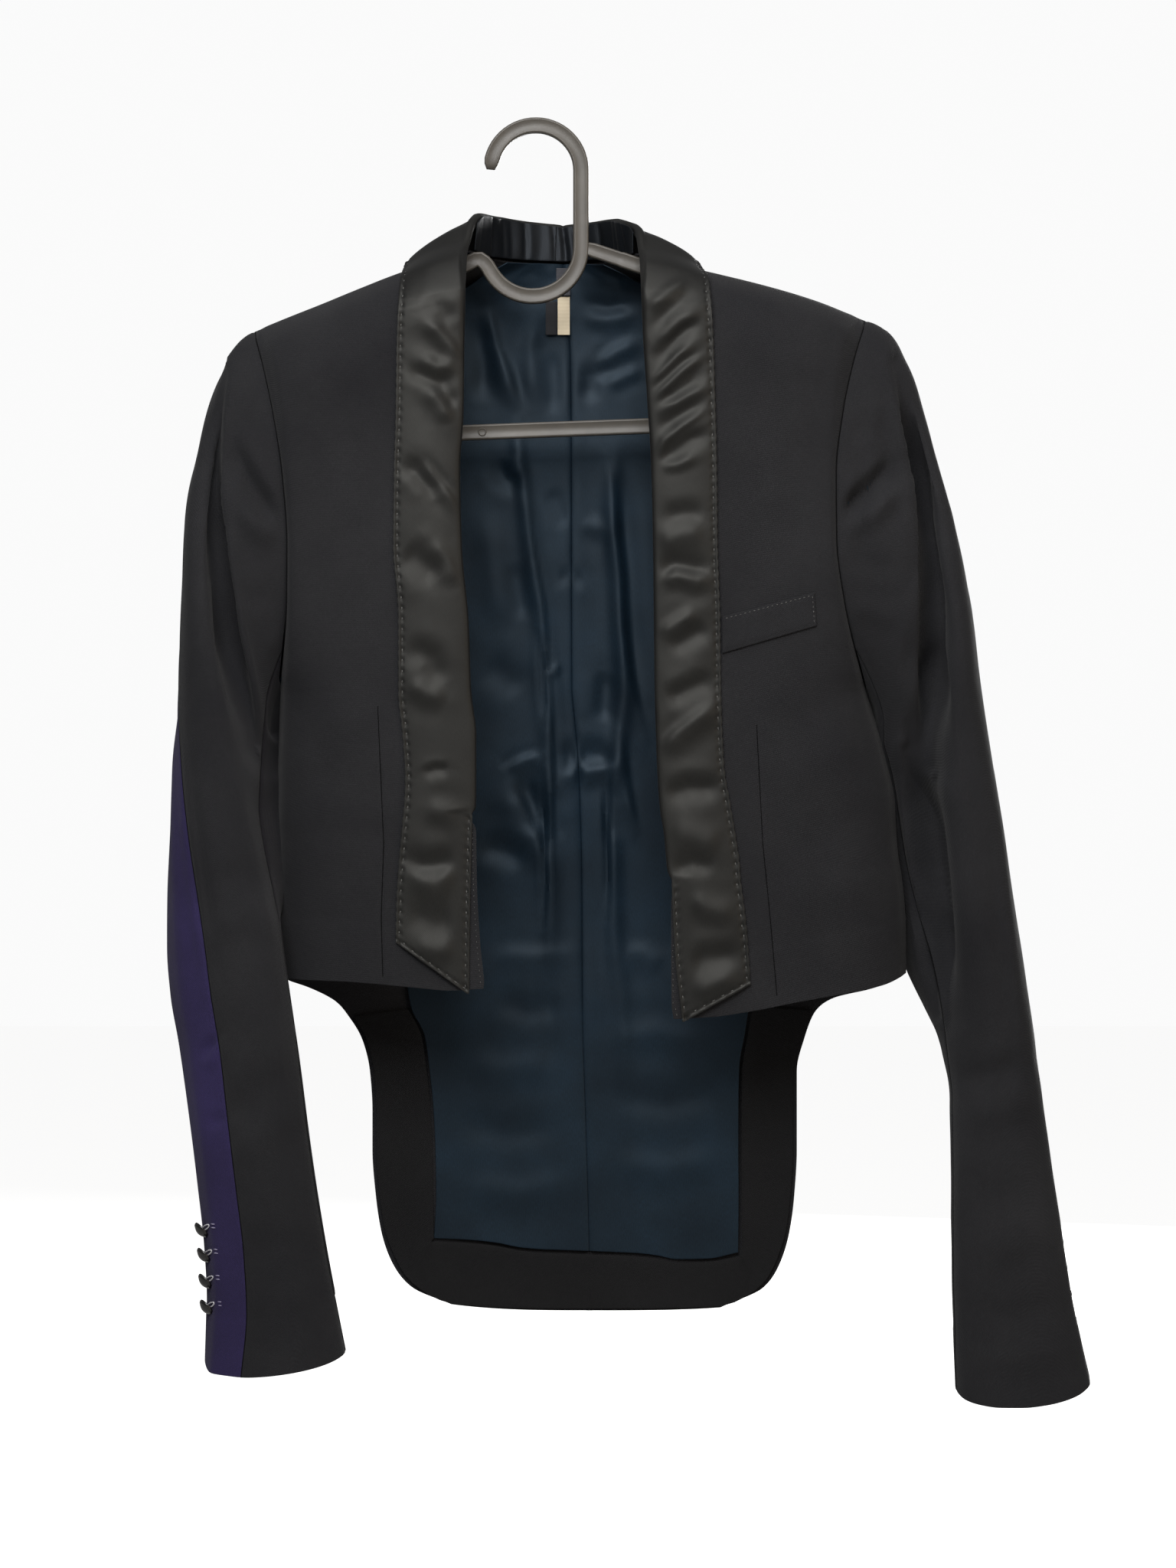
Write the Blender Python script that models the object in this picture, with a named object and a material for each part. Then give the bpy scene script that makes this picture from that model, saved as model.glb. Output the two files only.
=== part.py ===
"""A small open-front tailcoat of black wool with satin lapels, hung on a moulded hanger.

Sizes are in millimetres. x runs along the hanger, the front faces -y and z is up. The rail that
holds the hook touches it at the origin. Right and left are the wearer's.
"""

import math

import bpy
import numpy as np

MM = 0.001

SEAM_GAP = 0.3
WOOL = 2.0
SATIN = 1.6
LINING = 1.2
LAID = 0.4

CHEST_FRONT = -48.0
CHEST_BACK = 48.0
TAIL_BACK = 46.0
SHOULDER_ROUND = 34.0
SIDE_POWER = 3.2
SIDE_ROOT = 2.2

ROLL_RADIUS = WOOL / 2 + LAID + SATIN
RUCHES = 15
RUCHE_HEIGHT = 1.1

HOOK_RADIUS = 27.1
BAR_WIDTH = 9.2
BAR_DEPTH = 7.0
BUTTON_RADIUS = 5.7


def table(names, *rows):
    """A table as a dict, with a column of numbers for each name."""
    return dict(zip(names.split(), np.array(rows, float).T))


def follow(keys, values, at):
    """A smooth line through a table's points that never swings past them."""
    order = np.argsort(keys)
    keys = np.asarray(keys, float)[order]
    values = np.asarray(values, float)[order]
    steps = np.diff(keys)
    rates = np.diff(values) / steps
    before, after = rates[:-1], rates[1:]
    same = before * after > 0
    total = np.where(same, before + after, 1.0)
    slopes = np.empty_like(values)
    slopes[1:-1] = np.where(same, 2 * before * after / total, 0.0)
    slopes[0], slopes[-1] = rates[0], rates[-1]
    at = np.clip(np.asarray(at, float), keys[0], keys[-1])
    i = np.clip(np.searchsorted(keys, at, side="right") - 1, 0, len(steps) - 1)
    step = steps[i]
    t = (at - keys[i]) / step
    rise = values[i + 1] - values[i]
    bend = slopes[i] * step * t * (1 - t) ** 2 - slopes[i + 1] * step * t**2 * (1 - t)
    return values[i] + rise * t * t * (3 - 2 * t) + bend


def column(rows, key, name, at):
    return follow(rows[key], rows[name], at)


# The line of each shoulder, from the neck seam to the sleeve.
SHOULDER = {
    "right": table("x z", (-40.5, -70), (-62, -77.5), (-77.5, -83), (-92, -88), (-120, -99.5),
                   (-154.5, -113), (-169, -119)),
    "left": table("x z", (61.5, -71.5), (77, -77), (96.5, -82), (119, -87), (164.5, -99.5),
                  (198, -112.5)),
}

# Each armhole, seen from the front: its ends, and how far its middle curves toward the neck.
ARMHOLE = {
    "right": dict(top=(-169.0, -119.0), under=(-153.5, -334.0), bulge=12.5, front=38.0, back=40.0),
    "left": dict(top=(198.0, -112.5), under=(198.0, -334.0), bulge=19.5, front=38.0, back=40.0),
}

# The side seam, from the armhole down.
SIDE = {
    "right": table("z x", (-334, -153.5), (-354, -154.5), (-412, -156), (-472, -155.5), (-507, -155)),
    "left": table("z x", (-334, 198), (-352, 204), (-372, 210), (-400, 216), (-428, 217.5),
                  (-467, 222.5), (-504, 222.5)),
}

# The front's own edge: it lies in the lapel's roll, and shows below it.
FRONT_EDGE = {
    "right": table("z x", (-70, -40.5), (-79, -49), (-88, -51), (-97, -51.5), (-106, -51.5),
                   (-118, -51.5), (-140, -47), (-171, -45.2), (-205, -47.2), (-250, -46.2), (-272, -45.2),
                   (-295, -42.2), (-335, -40.7), (-362, -37.7), (-396, -37.9), (-407, -43.5),
                   (-418, -35), (-470, -34), (-496, -31), (-509, -30), (-512, -30.5)),
    "left": table("z x", (-71.5, 61.5), (-80, 70.5), (-89, 73), (-97, 73.5), (-106, 73.5),
                  (-118, 73.5), (-145, 70), (-163, 69.2), (-205, 71.7), (-249, 72.7), (-293, 73.2),
                  (-335, 73.7), (-382, 75.2), (-405, 76.7), (-421, 79.2), (-436, 81), (-448, 87.5),
                  (-460, 80.5), (-499, 80.5), (-526, 81), (-530, 82)),
}

# Rows of each front below the armhole: the height at the open edge, and the part of the way down
# the side seam. Close rows lie where the lapel stops turning in.
FRONT_ROWS = {
    "right": table("edge_z part", (-362, 0.2), (-396, 0.38), (-407, 0.45), (-418, 0.52), (-450, 0.7),
                   (-485, 0.87), (-505, 0.96)),
    "left": table("edge_z part", (-380, 0.22), (-412, 0.4), (-436, 0.53), (-448, 0.6), (-460, 0.67),
                  (-490, 0.82), (-515, 0.94)),
}

# The lower edge of each front.
FRONT_HEM = {
    "right": table("x z", (-30.5, -512), (-34, -514.5), (-52.5, -513), (-81.5, -510.5), (-110.5, -508),
                   (-145.5, -507), (-155, -506.5)),
    "left": table("x z", (82, -530), (108, -528.5), (127.5, -525.5), (163.5, -518.5), (190.5, -514),
                  (207, -510.5), (222.5, -504)),
}

# Lapel on each front: its roll and its outer edge. turned is 1 where it turns in round the
# front's edge, and near 0 where it lies sewn on the front.
LAPEL = {
    "right": table("z roll edge_z edge turned",
                   (-99, -41, -106, -81, 1), (-106, -41, -112, -81.3, 1), (-116, -41.2, -120, -81.6, 1),
                   (-130, -41.5, -132, -82, 1), (-171, -42, -171, -82.5, 1),
                   (-205, -44, -205, -83.5, 1), (-250, -43, -250, -84, 1), (-295, -39, -292, -81, 1),
                   (-335, -37.5, -335, -81, 1), (-362, -34.5, -362, -78.5, 1),
                   (-388, -34.5, -388, -77, 1), (-404, -34.7, -402, -77.5, 1),
                   (-410, -35, -408, -78, 0.08), (-427, -35.5, -424, -79.5, 0.08),
                   (-470, -36.5, -458, -82, 0.08), (-515, -37, -484.5, -82.5, 0.08)),
    "left": table("z roll edge_z edge turned",
                  (-99, 62.5, -102, 104, 1), (-106, 62.8, -109, 104.5, 1), (-114, 63.1, -117, 105, 1),
                  (-125, 63.5, -127, 105.5, 1), (-163, 66, -160, 106.5, 1),
                  (-205, 68.5, -200, 107.5, 1), (-249, 69.5, -249, 108, 1),
                  (-293, 70, -293, 109.5, 1), (-335, 70.5, -335, 110, 1), (-382, 72, -382, 112, 1),
                  (-405, 73.5, -400, 115, 1), (-421, 76, -421, 118.5, 1), (-442, 78, -438, 121, 1),
                  (-450, 78.7, -446, 121.5, 0.08), (-490, 80.5, -475, 125, 0.08),
                  (-531.5, 85, -509.5, 127.5, 0.08)),
}

# Collar from the lapel round to the centre back: its outer edge, the top of its roll and the lower
# seam of its stand. lie is 0 where the roll faces the opening, and 1 where it faces up.
COLLAR_COLUMNS = "edge_x edge_y edge_z roll_x roll_y roll_z seam_x seam_y seam_z lie"
COLLAR = {
    "right": table(COLLAR_COLUMNS,
                   (-80, -28, -89, -41, -27, -77, -38.5, -19, -80, 0.35),
                   (-78, 0, -78, -38, -2, -51.5, -36.6, -1, -70.3, 0.8),
                   (-73.5, 27, -82.5, -34, 12, -46.5, -33, 12, -71.5, 1),
                   (-59, 48, -92, -25, 34, -46, -24, 30, -71.5, 1),
                   (-28, 56, -101, -8, 46, -47.5, -7, 41, -72, 1),
                   (16, 58, -104, 16, 51, -49.5, 16, 45, -72.5, 1)),
    "left": table(COLLAR_COLUMNS,
                  (103, -30, -90, 62.3, -27, -80, 59.5, -19, -81, 0.35),
                  (97, 0, -77.5, 61.7, -2, -57, 58.2, -1, -72.3, 0.8),
                  (93.5, 28, -83.5, 54, 12, -51, 52.5, 12, -73, 1),
                  (83, 49, -92, 46, 34, -47.5, 45, 30, -72, 1),
                  (52, 56, -102, 31, 46, -48.5, 30, 41, -72, 1),
                  (16, 58, -104, 16, 51, -49.5, 16, 45, -72.5, 1)),
}

# Centre seam of the back, and the edge of the tail below the side seam.
CENTRE = table("z x", (-72, 16), (-146, 21), (-333, 21.5), (-372, 25), (-441, 27.5), (-534, 28),
               (-585, 29.5), (-674, 32), (-712, 32.5))
TAIL = {
    "right": table("x z centre", (-155, -507, -470), (-150, -510, -484), (-137.5, -515, -498),
                   (-122, -523.5, -512), (-114, -533, -525), (-106, -547, -542), (-101.5, -566, -563),
                   (-100, -590, -588), (-100, -614, -613), (-98, -641, -641), (-94.5, -664, -665),
                   (-87.5, -683.5, -686), (-76, -697.5, -700), (-52, -708, -712)),
    "left": table("x z centre", (222.5, -504, -470), (215, -511, -484), (203, -515.5, -498),
                  (180, -521.5, -512), (170, -529, -525), (163, -546, -542), (158.5, -566, -563),
                  (158.5, -590, -588), (158.5, -614, -613), (157, -641, -641), (154, -664, -665),
                  (148, -683.5, -686), (138.5, -697.5, -700), (112, -710, -712)),
}

# Outer edge of the lining, from the neck down to the tail, and its lower edge.
LINING_EDGE = {
    "right": table("z x", (-74, -22), (-84, -44), (-110, -72), (-200, -88), (-400, -86), (-500, -80),
                   (-524, -77.5), (-544, -68.5), (-569, -65), (-605, -62), (-668, -61)),
    "left": table("z x", (-74, 45), (-84, 68), (-110, 98), (-200, 114), (-400, 122), (-500, 132),
                  (-534, 128.5), (-565, 123.5), (-605, 123), (-674, 123.5)),
}
LINING_HEM = table("x z", (-61, -667.5), (-33, -669), (-4, -674), (32, -675.5), (65, -677),
                   (95, -681), (124, -676))
FACING_INSET = 1.5
BACKING_GAP = 0.6
BESIDE = 1.2

# Corners of the chest welt, and the labels as left, right, top and bottom.
WELT = [(110.6, -292), (165.5, -277.5), (167, -297.5), (110.6, -314)]
LABELS = {
    "neck_label": (12, 20.5, -80, -93.5, "tab"),
    "size_tab": (12.8, 20.2, -94, -117.5, "label"),
    "care_tab": (5.5, 12.3, -97, -117.5, "tab"),
}

# Buttons on each cuff: the angle round the sleeve, and the heights.
BUTTONS = {
    "right": (0.93, (-656.5, -671.5, -687, -702.5)),
    "left": (1.22, (-668, -683.5, -699, -714.5)),
}

# Sleeve sections. in and out are the ends of each one, seen from the front. y is the depth of
# each end, front and back the reach before and behind them, dip how far the front hangs lower.
SLEEVE_COLUMNS = "in_x in_z in_y out_x out_z out_y bulge front back dip seam_f seam_b"
SLEEVE = {
    "right": table(SLEEVE_COLUMNS,
                   (-153.5, -334, 0, -169, -119, 0, 12.5, 38, 40, 0, 0.21, 1.4),
                   (-155, -339, -1, -178, -125.5, -2, 11, 38, 40, 0, 0.20, 1.38),
                   (-156.5, -345, -2, -189, -142, -4, 9, 38, 40, 0, 0.19, 1.34),
                   (-158, -352, -4, -198.5, -169, -6, 6, 38, 40, 0, 0.18, 1.28),
                   (-159, -360, -6, -204, -200, -8, 4, 38, 39, 0, 0.16, 1.20),
                   (-160, -369, -9, -208, -240, -9, 2, 37, 38, 0, 0.14, 1.12),
                   (-161, -379, -12, -211, -287, -10, 0, 37, 37, 0, 0.12, 1.04),
                   (-162, -391, -16, -213.5, -330, -11, 0, 36, 36, 0, 0.10, 0.94),
                   (-163, -405, -21, -217.5, -382, -12, 0, 34, 34, 0, 0.08, 0.76),
                   (-159.5, -432, -29, -220, -432, -13, 0, 31, 31, 0, 0.06, 0.66),
                   (-152, -464, -37, -220.5, -474, -14, 0, 27, 27, 1, 0.05, 0.61),
                   (-146, -502, -43, -219, -510, -16, 0, 25, 24, 2, 0.05, 0.59),
                   (-140, -543, -44, -213, -548, -18, 0, 23, 24, 2, 0.05, 0.59),
                   (-133.5, -598, -43, -205.5, -600, -20, 0, 22, 25, 2, 0.05, 0.60),
                   (-126, -648, -41, -200, -650, -22, 0, 22, 25, 3, 0.05, 0.60),
                   (-118, -692, -39, -196.5, -692, -23, 0, 22, 24, 5, 0.05, 0.61),
                   (-111.5, -724, -38, -197.5, -735, -24, 0, 22, 22, 11, 0.05, 0.65)),
    "left": table(SLEEVE_COLUMNS,
                  (198, -334, 0, 198, -112.5, 0, -19.5, 38, 40, 0, 0.21, 1.40),
                  (200, -339, 1, 208, -117.5, -1, -18, 38, 40, 0, 0.20, 1.40),
                  (202, -345, 3, 219.5, -131, -3, -15, 38, 40, 0, 0.19, 1.40),
                  (204.5, -352, 6, 231, -159, -5, -11, 38, 40, 0, 0.18, 1.40),
                  (207.5, -361, 10, 241, -199, -6, -7, 39, 39, 0, 0.17, 1.39),
                  (211, -372, 15, 251, -246, -7, -3, 41, 37, 0, 0.16, 1.38),
                  (215, -385, 19, 260, -295, -8, 0, 43, 34, 0, 0.17, 1.36),
                  (218, -401, 24, 268, -344, -8, 0, 45, 30, 0, 0.18, 1.34),
                  (220, -425, 28, 277, -402, -8, 0, 47, 26, 0, 0.20, 1.32),
                  (222, -455, 29, 286, -458, -8, 0, 47, 22, 0, 0.25, 1.30),
                  (226, -490, 26, 292.5, -500, -9, 0, 44, 20, 0, 0.30, 1.29),
                  (234, -524, 16, 297.5, -534, -10, 0, 38, 21, 1, 0.24, 1.28),
                  (245, -556, -1, 302, -570, -12, 0, 29, 25, 2, 0.10, 1.27),
                  (248.5, -590, -12, 307, -604, -14, 0, 24, 27, 2, 0.05, 1.27),
                  (248, -632, -18, 312, -640, -17, 0, 23, 27, 2, 0.05, 1.27),
                  (248, -676, -20, 318, -680, -19, 0, 22, 25, 3, 0.05, 1.27),
                  (249, -716, -21, 324.5, -716, -20, 0, 22, 24, 7, 0.05, 1.27),
                  (250, -749, -21, 330.5, -744, -21, 0, 22, 22, 14, 0.05, 1.27)),
}

# Large folds in the sleeves' front: depth is how far each goes in, and width its half width.
FOLDS = {
    "right": [
        (9.0, 6.0, [(-186, -185), (-187, -226), (-185.5, -262), (-181, -303), (-174, -340), (-166, -378)]),
        (-4.0, 7.0, [(-172, -400), (-160, -447), (-155, -500), (-150, -545)]),
    ],
    "left": [
        (13.0, 6.0, [(222.5, -165), (225, -199), (228.5, -235), (230, -271), (230.5, -307), (232, -344)]),
        (14.0, 8.0, [(231, -340), (233, -375), (233, -420), (234, -470), (236, -520)]),
        (4.0, 7.0, [(208, -200), (193, -220), (182, -232)]),
    ],
}

# Long tucks in the lining: the ridge of each, as x at some heights.
TUCKS = [
    table("z x", (-183, -11.5), (-238, -4), (-300, 4), (-333, 7.5), (-380, 8.5), (-471, 8.5)),
    table("z x", (-198, 47), (-227, 47.5), (-276, 52), (-333, 53), (-402, 47), (-472, 47)),
]
TUCK_HEIGHT = 2.2
TUCK_WIDTH = 5.0

COLOURS = {
    "wool": (0.019, 0.019, 0.021),
    "satin": (0.045, 0.045, 0.040),
    "lining": (0.012, 0.020, 0.032),
    "violet": (0.022, 0.018, 0.042),
    "label": (0.60, 0.52, 0.38),
    "tab": (0.008, 0.008, 0.010),
    "plastic": (0.145, 0.135, 0.120),
    "button": (0.012, 0.012, 0.013),
}
GLOSS = {"satin": 0.38, "lining": 0.42, "violet": 0.7, "plastic": 0.45, "button": 0.3, "label": 0.7}


UP = np.array([0.0, 0.0, 1.0])
FORWARD = np.array([0.0, -1.0, 0.0])


def unit(vectors):
    lengths = np.linalg.norm(vectors, axis=-1, keepdims=True)
    return vectors / np.maximum(lengths, 1e-9)


def stack(x, y, z):
    return np.stack(np.broadcast_arrays(x, y, z), axis=-1)


def smooth_step(value):
    value = np.clip(value, 0.0, 1.0)
    return value * value * (3 - 2 * value)


def material(name):
    found = bpy.data.materials.get(name)
    if found:
        return found
    made = bpy.data.materials.new(name)
    made.use_nodes = True
    shader = made.node_tree.nodes["Principled BSDF"]
    shader.inputs["Base Color"].default_value = (*COLOURS[name], 1.0)
    shader.inputs["Roughness"].default_value = GLOSS.get(name, 0.85)
    made.diffuse_color = (*COLOURS[name], 1.0)
    return made


def solid(name, points, faces, surface):
    """An object from points in millimetres, turned right side out."""
    points = np.asarray(points, float)
    volume = 0.0
    for face in faces:
        first = points[face[0]]
        for second, third in zip(face[1:-1], face[2:]):
            volume += np.dot(first, np.cross(points[second], points[third]))
    if volume < 0:
        faces = [tuple(reversed(face)) for face in faces]
    mesh = bpy.data.meshes.new(name)
    mesh.from_pydata([tuple(point * MM) for point in points], [], faces)
    mesh.materials.append(material(surface))
    mesh.update()
    made = bpy.data.objects.new(name, mesh)
    bpy.context.scene.collection.objects.link(made)
    return made


def ways_out(grid, toward, wrap=False):
    """The way out of the cloth at each point of a grid; toward is a rough direction for the whole."""
    if wrap:
        across = np.roll(grid, -1, axis=1) - np.roll(grid, 1, axis=1)
    else:
        across = np.gradient(grid, axis=1)
    along = np.gradient(grid, axis=0)
    out = unit(np.cross(along, across))
    signs = (out * toward).sum(axis=-1).sum()
    return out if signs > 0 else -out


def wall(name, grid, out, thick, surface):
    """A closed wall: the grid is its outer face, and the inner one lies a thickness inside."""
    rows, columns = grid.shape[:2]
    points = np.concatenate([grid.reshape(-1, 3), (grid - thick * out).reshape(-1, 3)])
    count = rows * columns
    faces = []
    for r in range(rows - 1):
        for c in range(columns - 1):
            a = r * columns + c
            b, d = a + 1, a + columns
            faces.append((a, b, d + 1, d))
            faces.append((a + count, d + count, d + 1 + count, b + count))
    edge = [(0, c) for c in range(columns - 1)]
    edge += [(r, columns - 1) for r in range(rows - 1)]
    edge += [(rows - 1, c) for c in range(columns - 1, 0, -1)]
    edge += [(r, 0) for r in range(rows - 1, 0, -1)]
    ring = [r * columns + c for r, c in edge]
    for a, b in zip(ring, ring[1:] + ring[:1]):
        faces.append((b, a, a + count, b + count))
    return solid(name, points, faces, surface)


def trim(grid, sides, by=0.6 * SEAM_GAP):
    """The grid with the named edges drawn back along the cloth, by a little over half a seam gap."""
    grid = grid.copy()
    if "first row" in sides:
        grid[0] += by * unit(grid[1] - grid[0])
    if "last row" in sides:
        grid[-1] += by * unit(grid[-2] - grid[-1])
    if "first column" in sides:
        grid[:, 0] += by * unit(grid[:, 1] - grid[:, 0])
    if "last column" in sides:
        grid[:, -1] += by * unit(grid[:, -2] - grid[:, -1])
    return grid


def blend_seam(mine, other):
    """A way out that both sides of a seam share where their cloth runs on, and not where it folds back."""
    shared = smooth_step(((mine * other).sum(axis=-1, keepdims=True) + 0.3) / 0.6)
    return unit(mine + shared * other)


# The back's second and third rows are raised, where the cloth bends most.
HOLE_NUDGE = (0.01 * math.pi, 0.035 * math.pi)


def hole_angles(side, face):
    """Angles round an armhole from the shoulder down, shared by the body and the sleeve."""
    seam_f = SLEEVE[side]["seam_f"][0] * math.pi
    seam_b = (2 - SLEEVE[side]["seam_b"][0]) * math.pi
    seam, above, below = (seam_f, 7, 2) if face == "front" else (seam_b, 4, 5)
    upper = np.linspace(math.pi, seam, above + 1)
    if face == "back":
        upper[1:3] += HOLE_NUDGE
    return np.concatenate([upper, np.linspace(seam, 0, below + 1)[1:]])


def armhole(side, angle, face):
    """Points of an armhole. The angle runs from 0 under the arm to pi at the shoulder."""
    size = ARMHOLE[side]
    part = (1 - np.cos(angle)) / 2
    x = size["under"][0] + part * (size["top"][0] - size["under"][0])
    inward = 1 if side == "right" else -1
    x = x + inward * abs(size["bulge"]) * 4 * part * (1 - part)
    z = size["under"][1] + part * (size["top"][1] - size["under"][1])
    depth = size[face] * np.sin(angle) ** 0.8
    return x, -depth if face == "front" else depth, z


def side_line(side, z, face):
    """Where the body ends at a height: the armhole, or the side seam below it."""
    size = ARMHOLE[side]
    top, under = size["top"][1], size["under"][1]
    part = np.clip((z - under) / (top - under), 0, 1)
    angle = np.arccos(1 - 2 * part)
    hole_x, hole_y, _ = armhole(side, angle, face)
    seam_x = column(SIDE[side], "z", "x", z)
    return np.where(z > under, hole_x, seam_x), np.where(z > under, hole_y, 0.0)


def body_depth(side, x, z, face, inner_x):
    """The depth of the body's cloth at a place seen from the front."""
    end_x, end_y = side_line(side, z, face)
    middle = inner_x + 0.25 * (end_x - inner_x)
    reach = np.clip((x - middle) / (end_x - middle), 0, 1)
    flat = (1 - reach**SIDE_POWER) ** (1 / SIDE_ROOT)
    chest = CHEST_FRONT if face == "front" else CHEST_BACK
    return end_y + (chest - end_y) * flat


def over_shoulder(depth, top_depth, drop):
    """Closes the cloth over the shoulder, from its depth to that of its top line."""
    part = np.clip(drop / SHOULDER_ROUND, 0, 1)
    return top_depth + (depth - top_depth) * np.sqrt(1 - (1 - part) ** 2)


FRONT_SPREAD = np.array([0, 0.16, 0.34, 0.52, 0.68, 0.81, 0.9, 0.96, 1.0])
ARM_ROWS = 9


def front_point_depth(side, x, z):
    edge = column(FRONT_EDGE[side], "z", "x", z)
    depth = body_depth(side, x, z, "front", edge)
    line = column(SHOULDER[side], "x", "z", x)
    return over_shoulder(depth, 0.0, line - z)


def front_grid(side):
    """The front, in rows from the shoulder down and columns from the open edge to the side."""
    hem_edge = FRONT_HEM[side]["z"][0]
    under = ARMHOLE[side]["under"][1]
    side_hem = SIDE[side]["z"].min()
    neck = SHOULDER[side]["z"][0]
    rows = []
    for angle in hole_angles(side, "front"):
        part = (1 - math.cos(angle)) / 2
        rows.append((neck + (under - neck) * (1 - part), armhole(side, angle, "front")[2]))
    for edge_z, part in zip(FRONT_ROWS[side]["edge_z"], FRONT_ROWS[side]["part"]):
        rows.append((edge_z, under + part * (side_hem - under)))
    rows.append((hem_edge, side_hem))
    grid = np.zeros((len(rows), len(FRONT_SPREAD), 3))
    for r, (edge_z, end_z) in enumerate(rows):
        z = edge_z + (end_z - edge_z) * FRONT_SPREAD
        edge_x = column(FRONT_EDGE[side], "z", "x", edge_z)
        end_x = side_line(side, np.array(end_z), "front")[0]
        x = edge_x + (end_x - edge_x) * FRONT_SPREAD
        bent = column(SHOULDER[side], "x", "z", x) - z
        z = z + bent * max(0.0, 1 - r / 4) if r < 4 else z
        hem_bend = column(FRONT_HEM[side], "x", "z", x) - z
        z = z + hem_bend * (1.0 if r == len(rows) - 1 else 0.4 if r == len(rows) - 2 else 0.0)
        depth = front_point_depth(side, x, z)
        if r == 0:
            depth = np.zeros_like(x)
        grid[r] = stack(x, depth, z)
    grid[: ARM_ROWS + 1, -1] = stack(*armhole(side, hole_angles(side, "front"), "front"))
    return grid


BACK_SPREAD = np.array([0, 0.1, 0.2, 0.3, 0.45, 0.6, 0.74, 0.86, 0.94, 1.0])
NECK_COLUMN = 3
NECK_DROP = 1.5


def back_top(side):
    """The back's top line: the neck seam from the centre, then the shoulder seam."""
    neck = COLLAR[side]
    shoulder = SHOULDER[side]
    count = NECK_COLUMN + 1
    across = np.linspace(0, 1, count) * math.pi / 2
    x = neck["seam_x"][-1] + (shoulder["x"][0] - neck["seam_x"][-1]) * np.sin(across)
    y = (CHEST_BACK + 1.5) * np.cos(across)
    drop = neck["seam_z"][-1] - NECK_DROP
    z = drop + (shoulder["z"][0] - drop) * np.sin(across) ** 2
    part = (BACK_SPREAD[NECK_COLUMN + 1:] - BACK_SPREAD[NECK_COLUMN]) / (1 - BACK_SPREAD[NECK_COLUMN])
    run = shoulder["x"][0] + (shoulder["x"][-1] - shoulder["x"][0]) * part
    line = column(shoulder, "x", "z", run)
    return stack(np.append(x, run), np.append(y, 0 * run), np.append(z, line))


def back_depth(side, x, z):
    centre = column(CENTRE, "z", "x", z)
    depth = body_depth(side, x, np.maximum(z, -506.0), "back", centre)
    tail = smooth_step((-470 - z) / 60)
    flat = TAIL_BACK - 5 * ((x - centre) / 130) ** 2
    return depth + (flat - depth) * tail


def back_grid(side):
    """The back with its tail, in rows from the neck down and columns from the centre to the side."""
    under = ARMHOLE[side]["under"][1]
    tail = TAIL[side]
    top = back_top(side)
    rows = []
    for angle in hole_angles(side, "back"):
        part = (1 - math.cos(angle)) / 2
        x, y, z = armhole(side, angle, "back")
        rows.append((-78 + (under + 78) * (1 - part), x, y, z))
    for part in (0.27, 0.54, 0.8):
        z = under + part * (tail["z"][0] - under)
        rows.append((under + part * (-470 - under), float(column(SIDE[side], "z", "x", z)), 0.0, z))
    for x, z, centre in zip(tail["x"], tail["z"], tail["centre"]):
        rows.append((centre, x, None, z))
    grid = np.zeros((len(rows), len(BACK_SPREAD), 3))
    for r, (centre_z, end_x, end_y, end_z) in enumerate(rows):
        z = centre_z + (end_z - centre_z) * BACK_SPREAD
        if r > ARM_ROWS + 3:
            sweep = (end_z - centre_z) * (BACK_SPREAD**3 - BACK_SPREAD)
            z = z + sweep
        centre_x = column(CENTRE, "z", "x", centre_z)
        x = centre_x + (end_x - centre_x) * BACK_SPREAD
        fade = max(0.0, 1 - r / 5)
        z = z + (top[:, 2] - (top[0, 2] + (top[-1, 2] - top[0, 2]) * BACK_SPREAD)) * fade
        x = x + (top[:, 0] - x) * max(0.0, 1 - r / 3)
        depth = back_depth(side, x, z)
        depth = over_shoulder(depth, top[:, 1], top[:, 2] - z)
        grid[r] = stack(x, depth, z)
        if end_y is not None:
            grid[r, -1] = (end_x, end_y, end_z)
    grid[0] = top
    return grid


def fold_push(side, x, z):
    """How far the large folds push the sleeve's front in at a place seen from the front."""
    push = np.zeros_like(x)
    for depth, width, path in FOLDS[side]:
        nearest = np.full_like(x, np.inf)
        for (ax, az), (bx, bz) in zip(path, path[1:]):
            dx, dz = bx - ax, bz - az
            part = np.clip(((x - ax) * dx + (z - az) * dz) / (dx * dx + dz * dz), 0, 1)
            nearest = np.minimum(nearest, np.hypot(x - ax - part * dx, z - az - part * dz))
        push += depth * np.exp(-((nearest / width) ** 2))
    return push


TOP_COLUMNS = 11
SLEEVE_ROWS = 21


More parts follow.
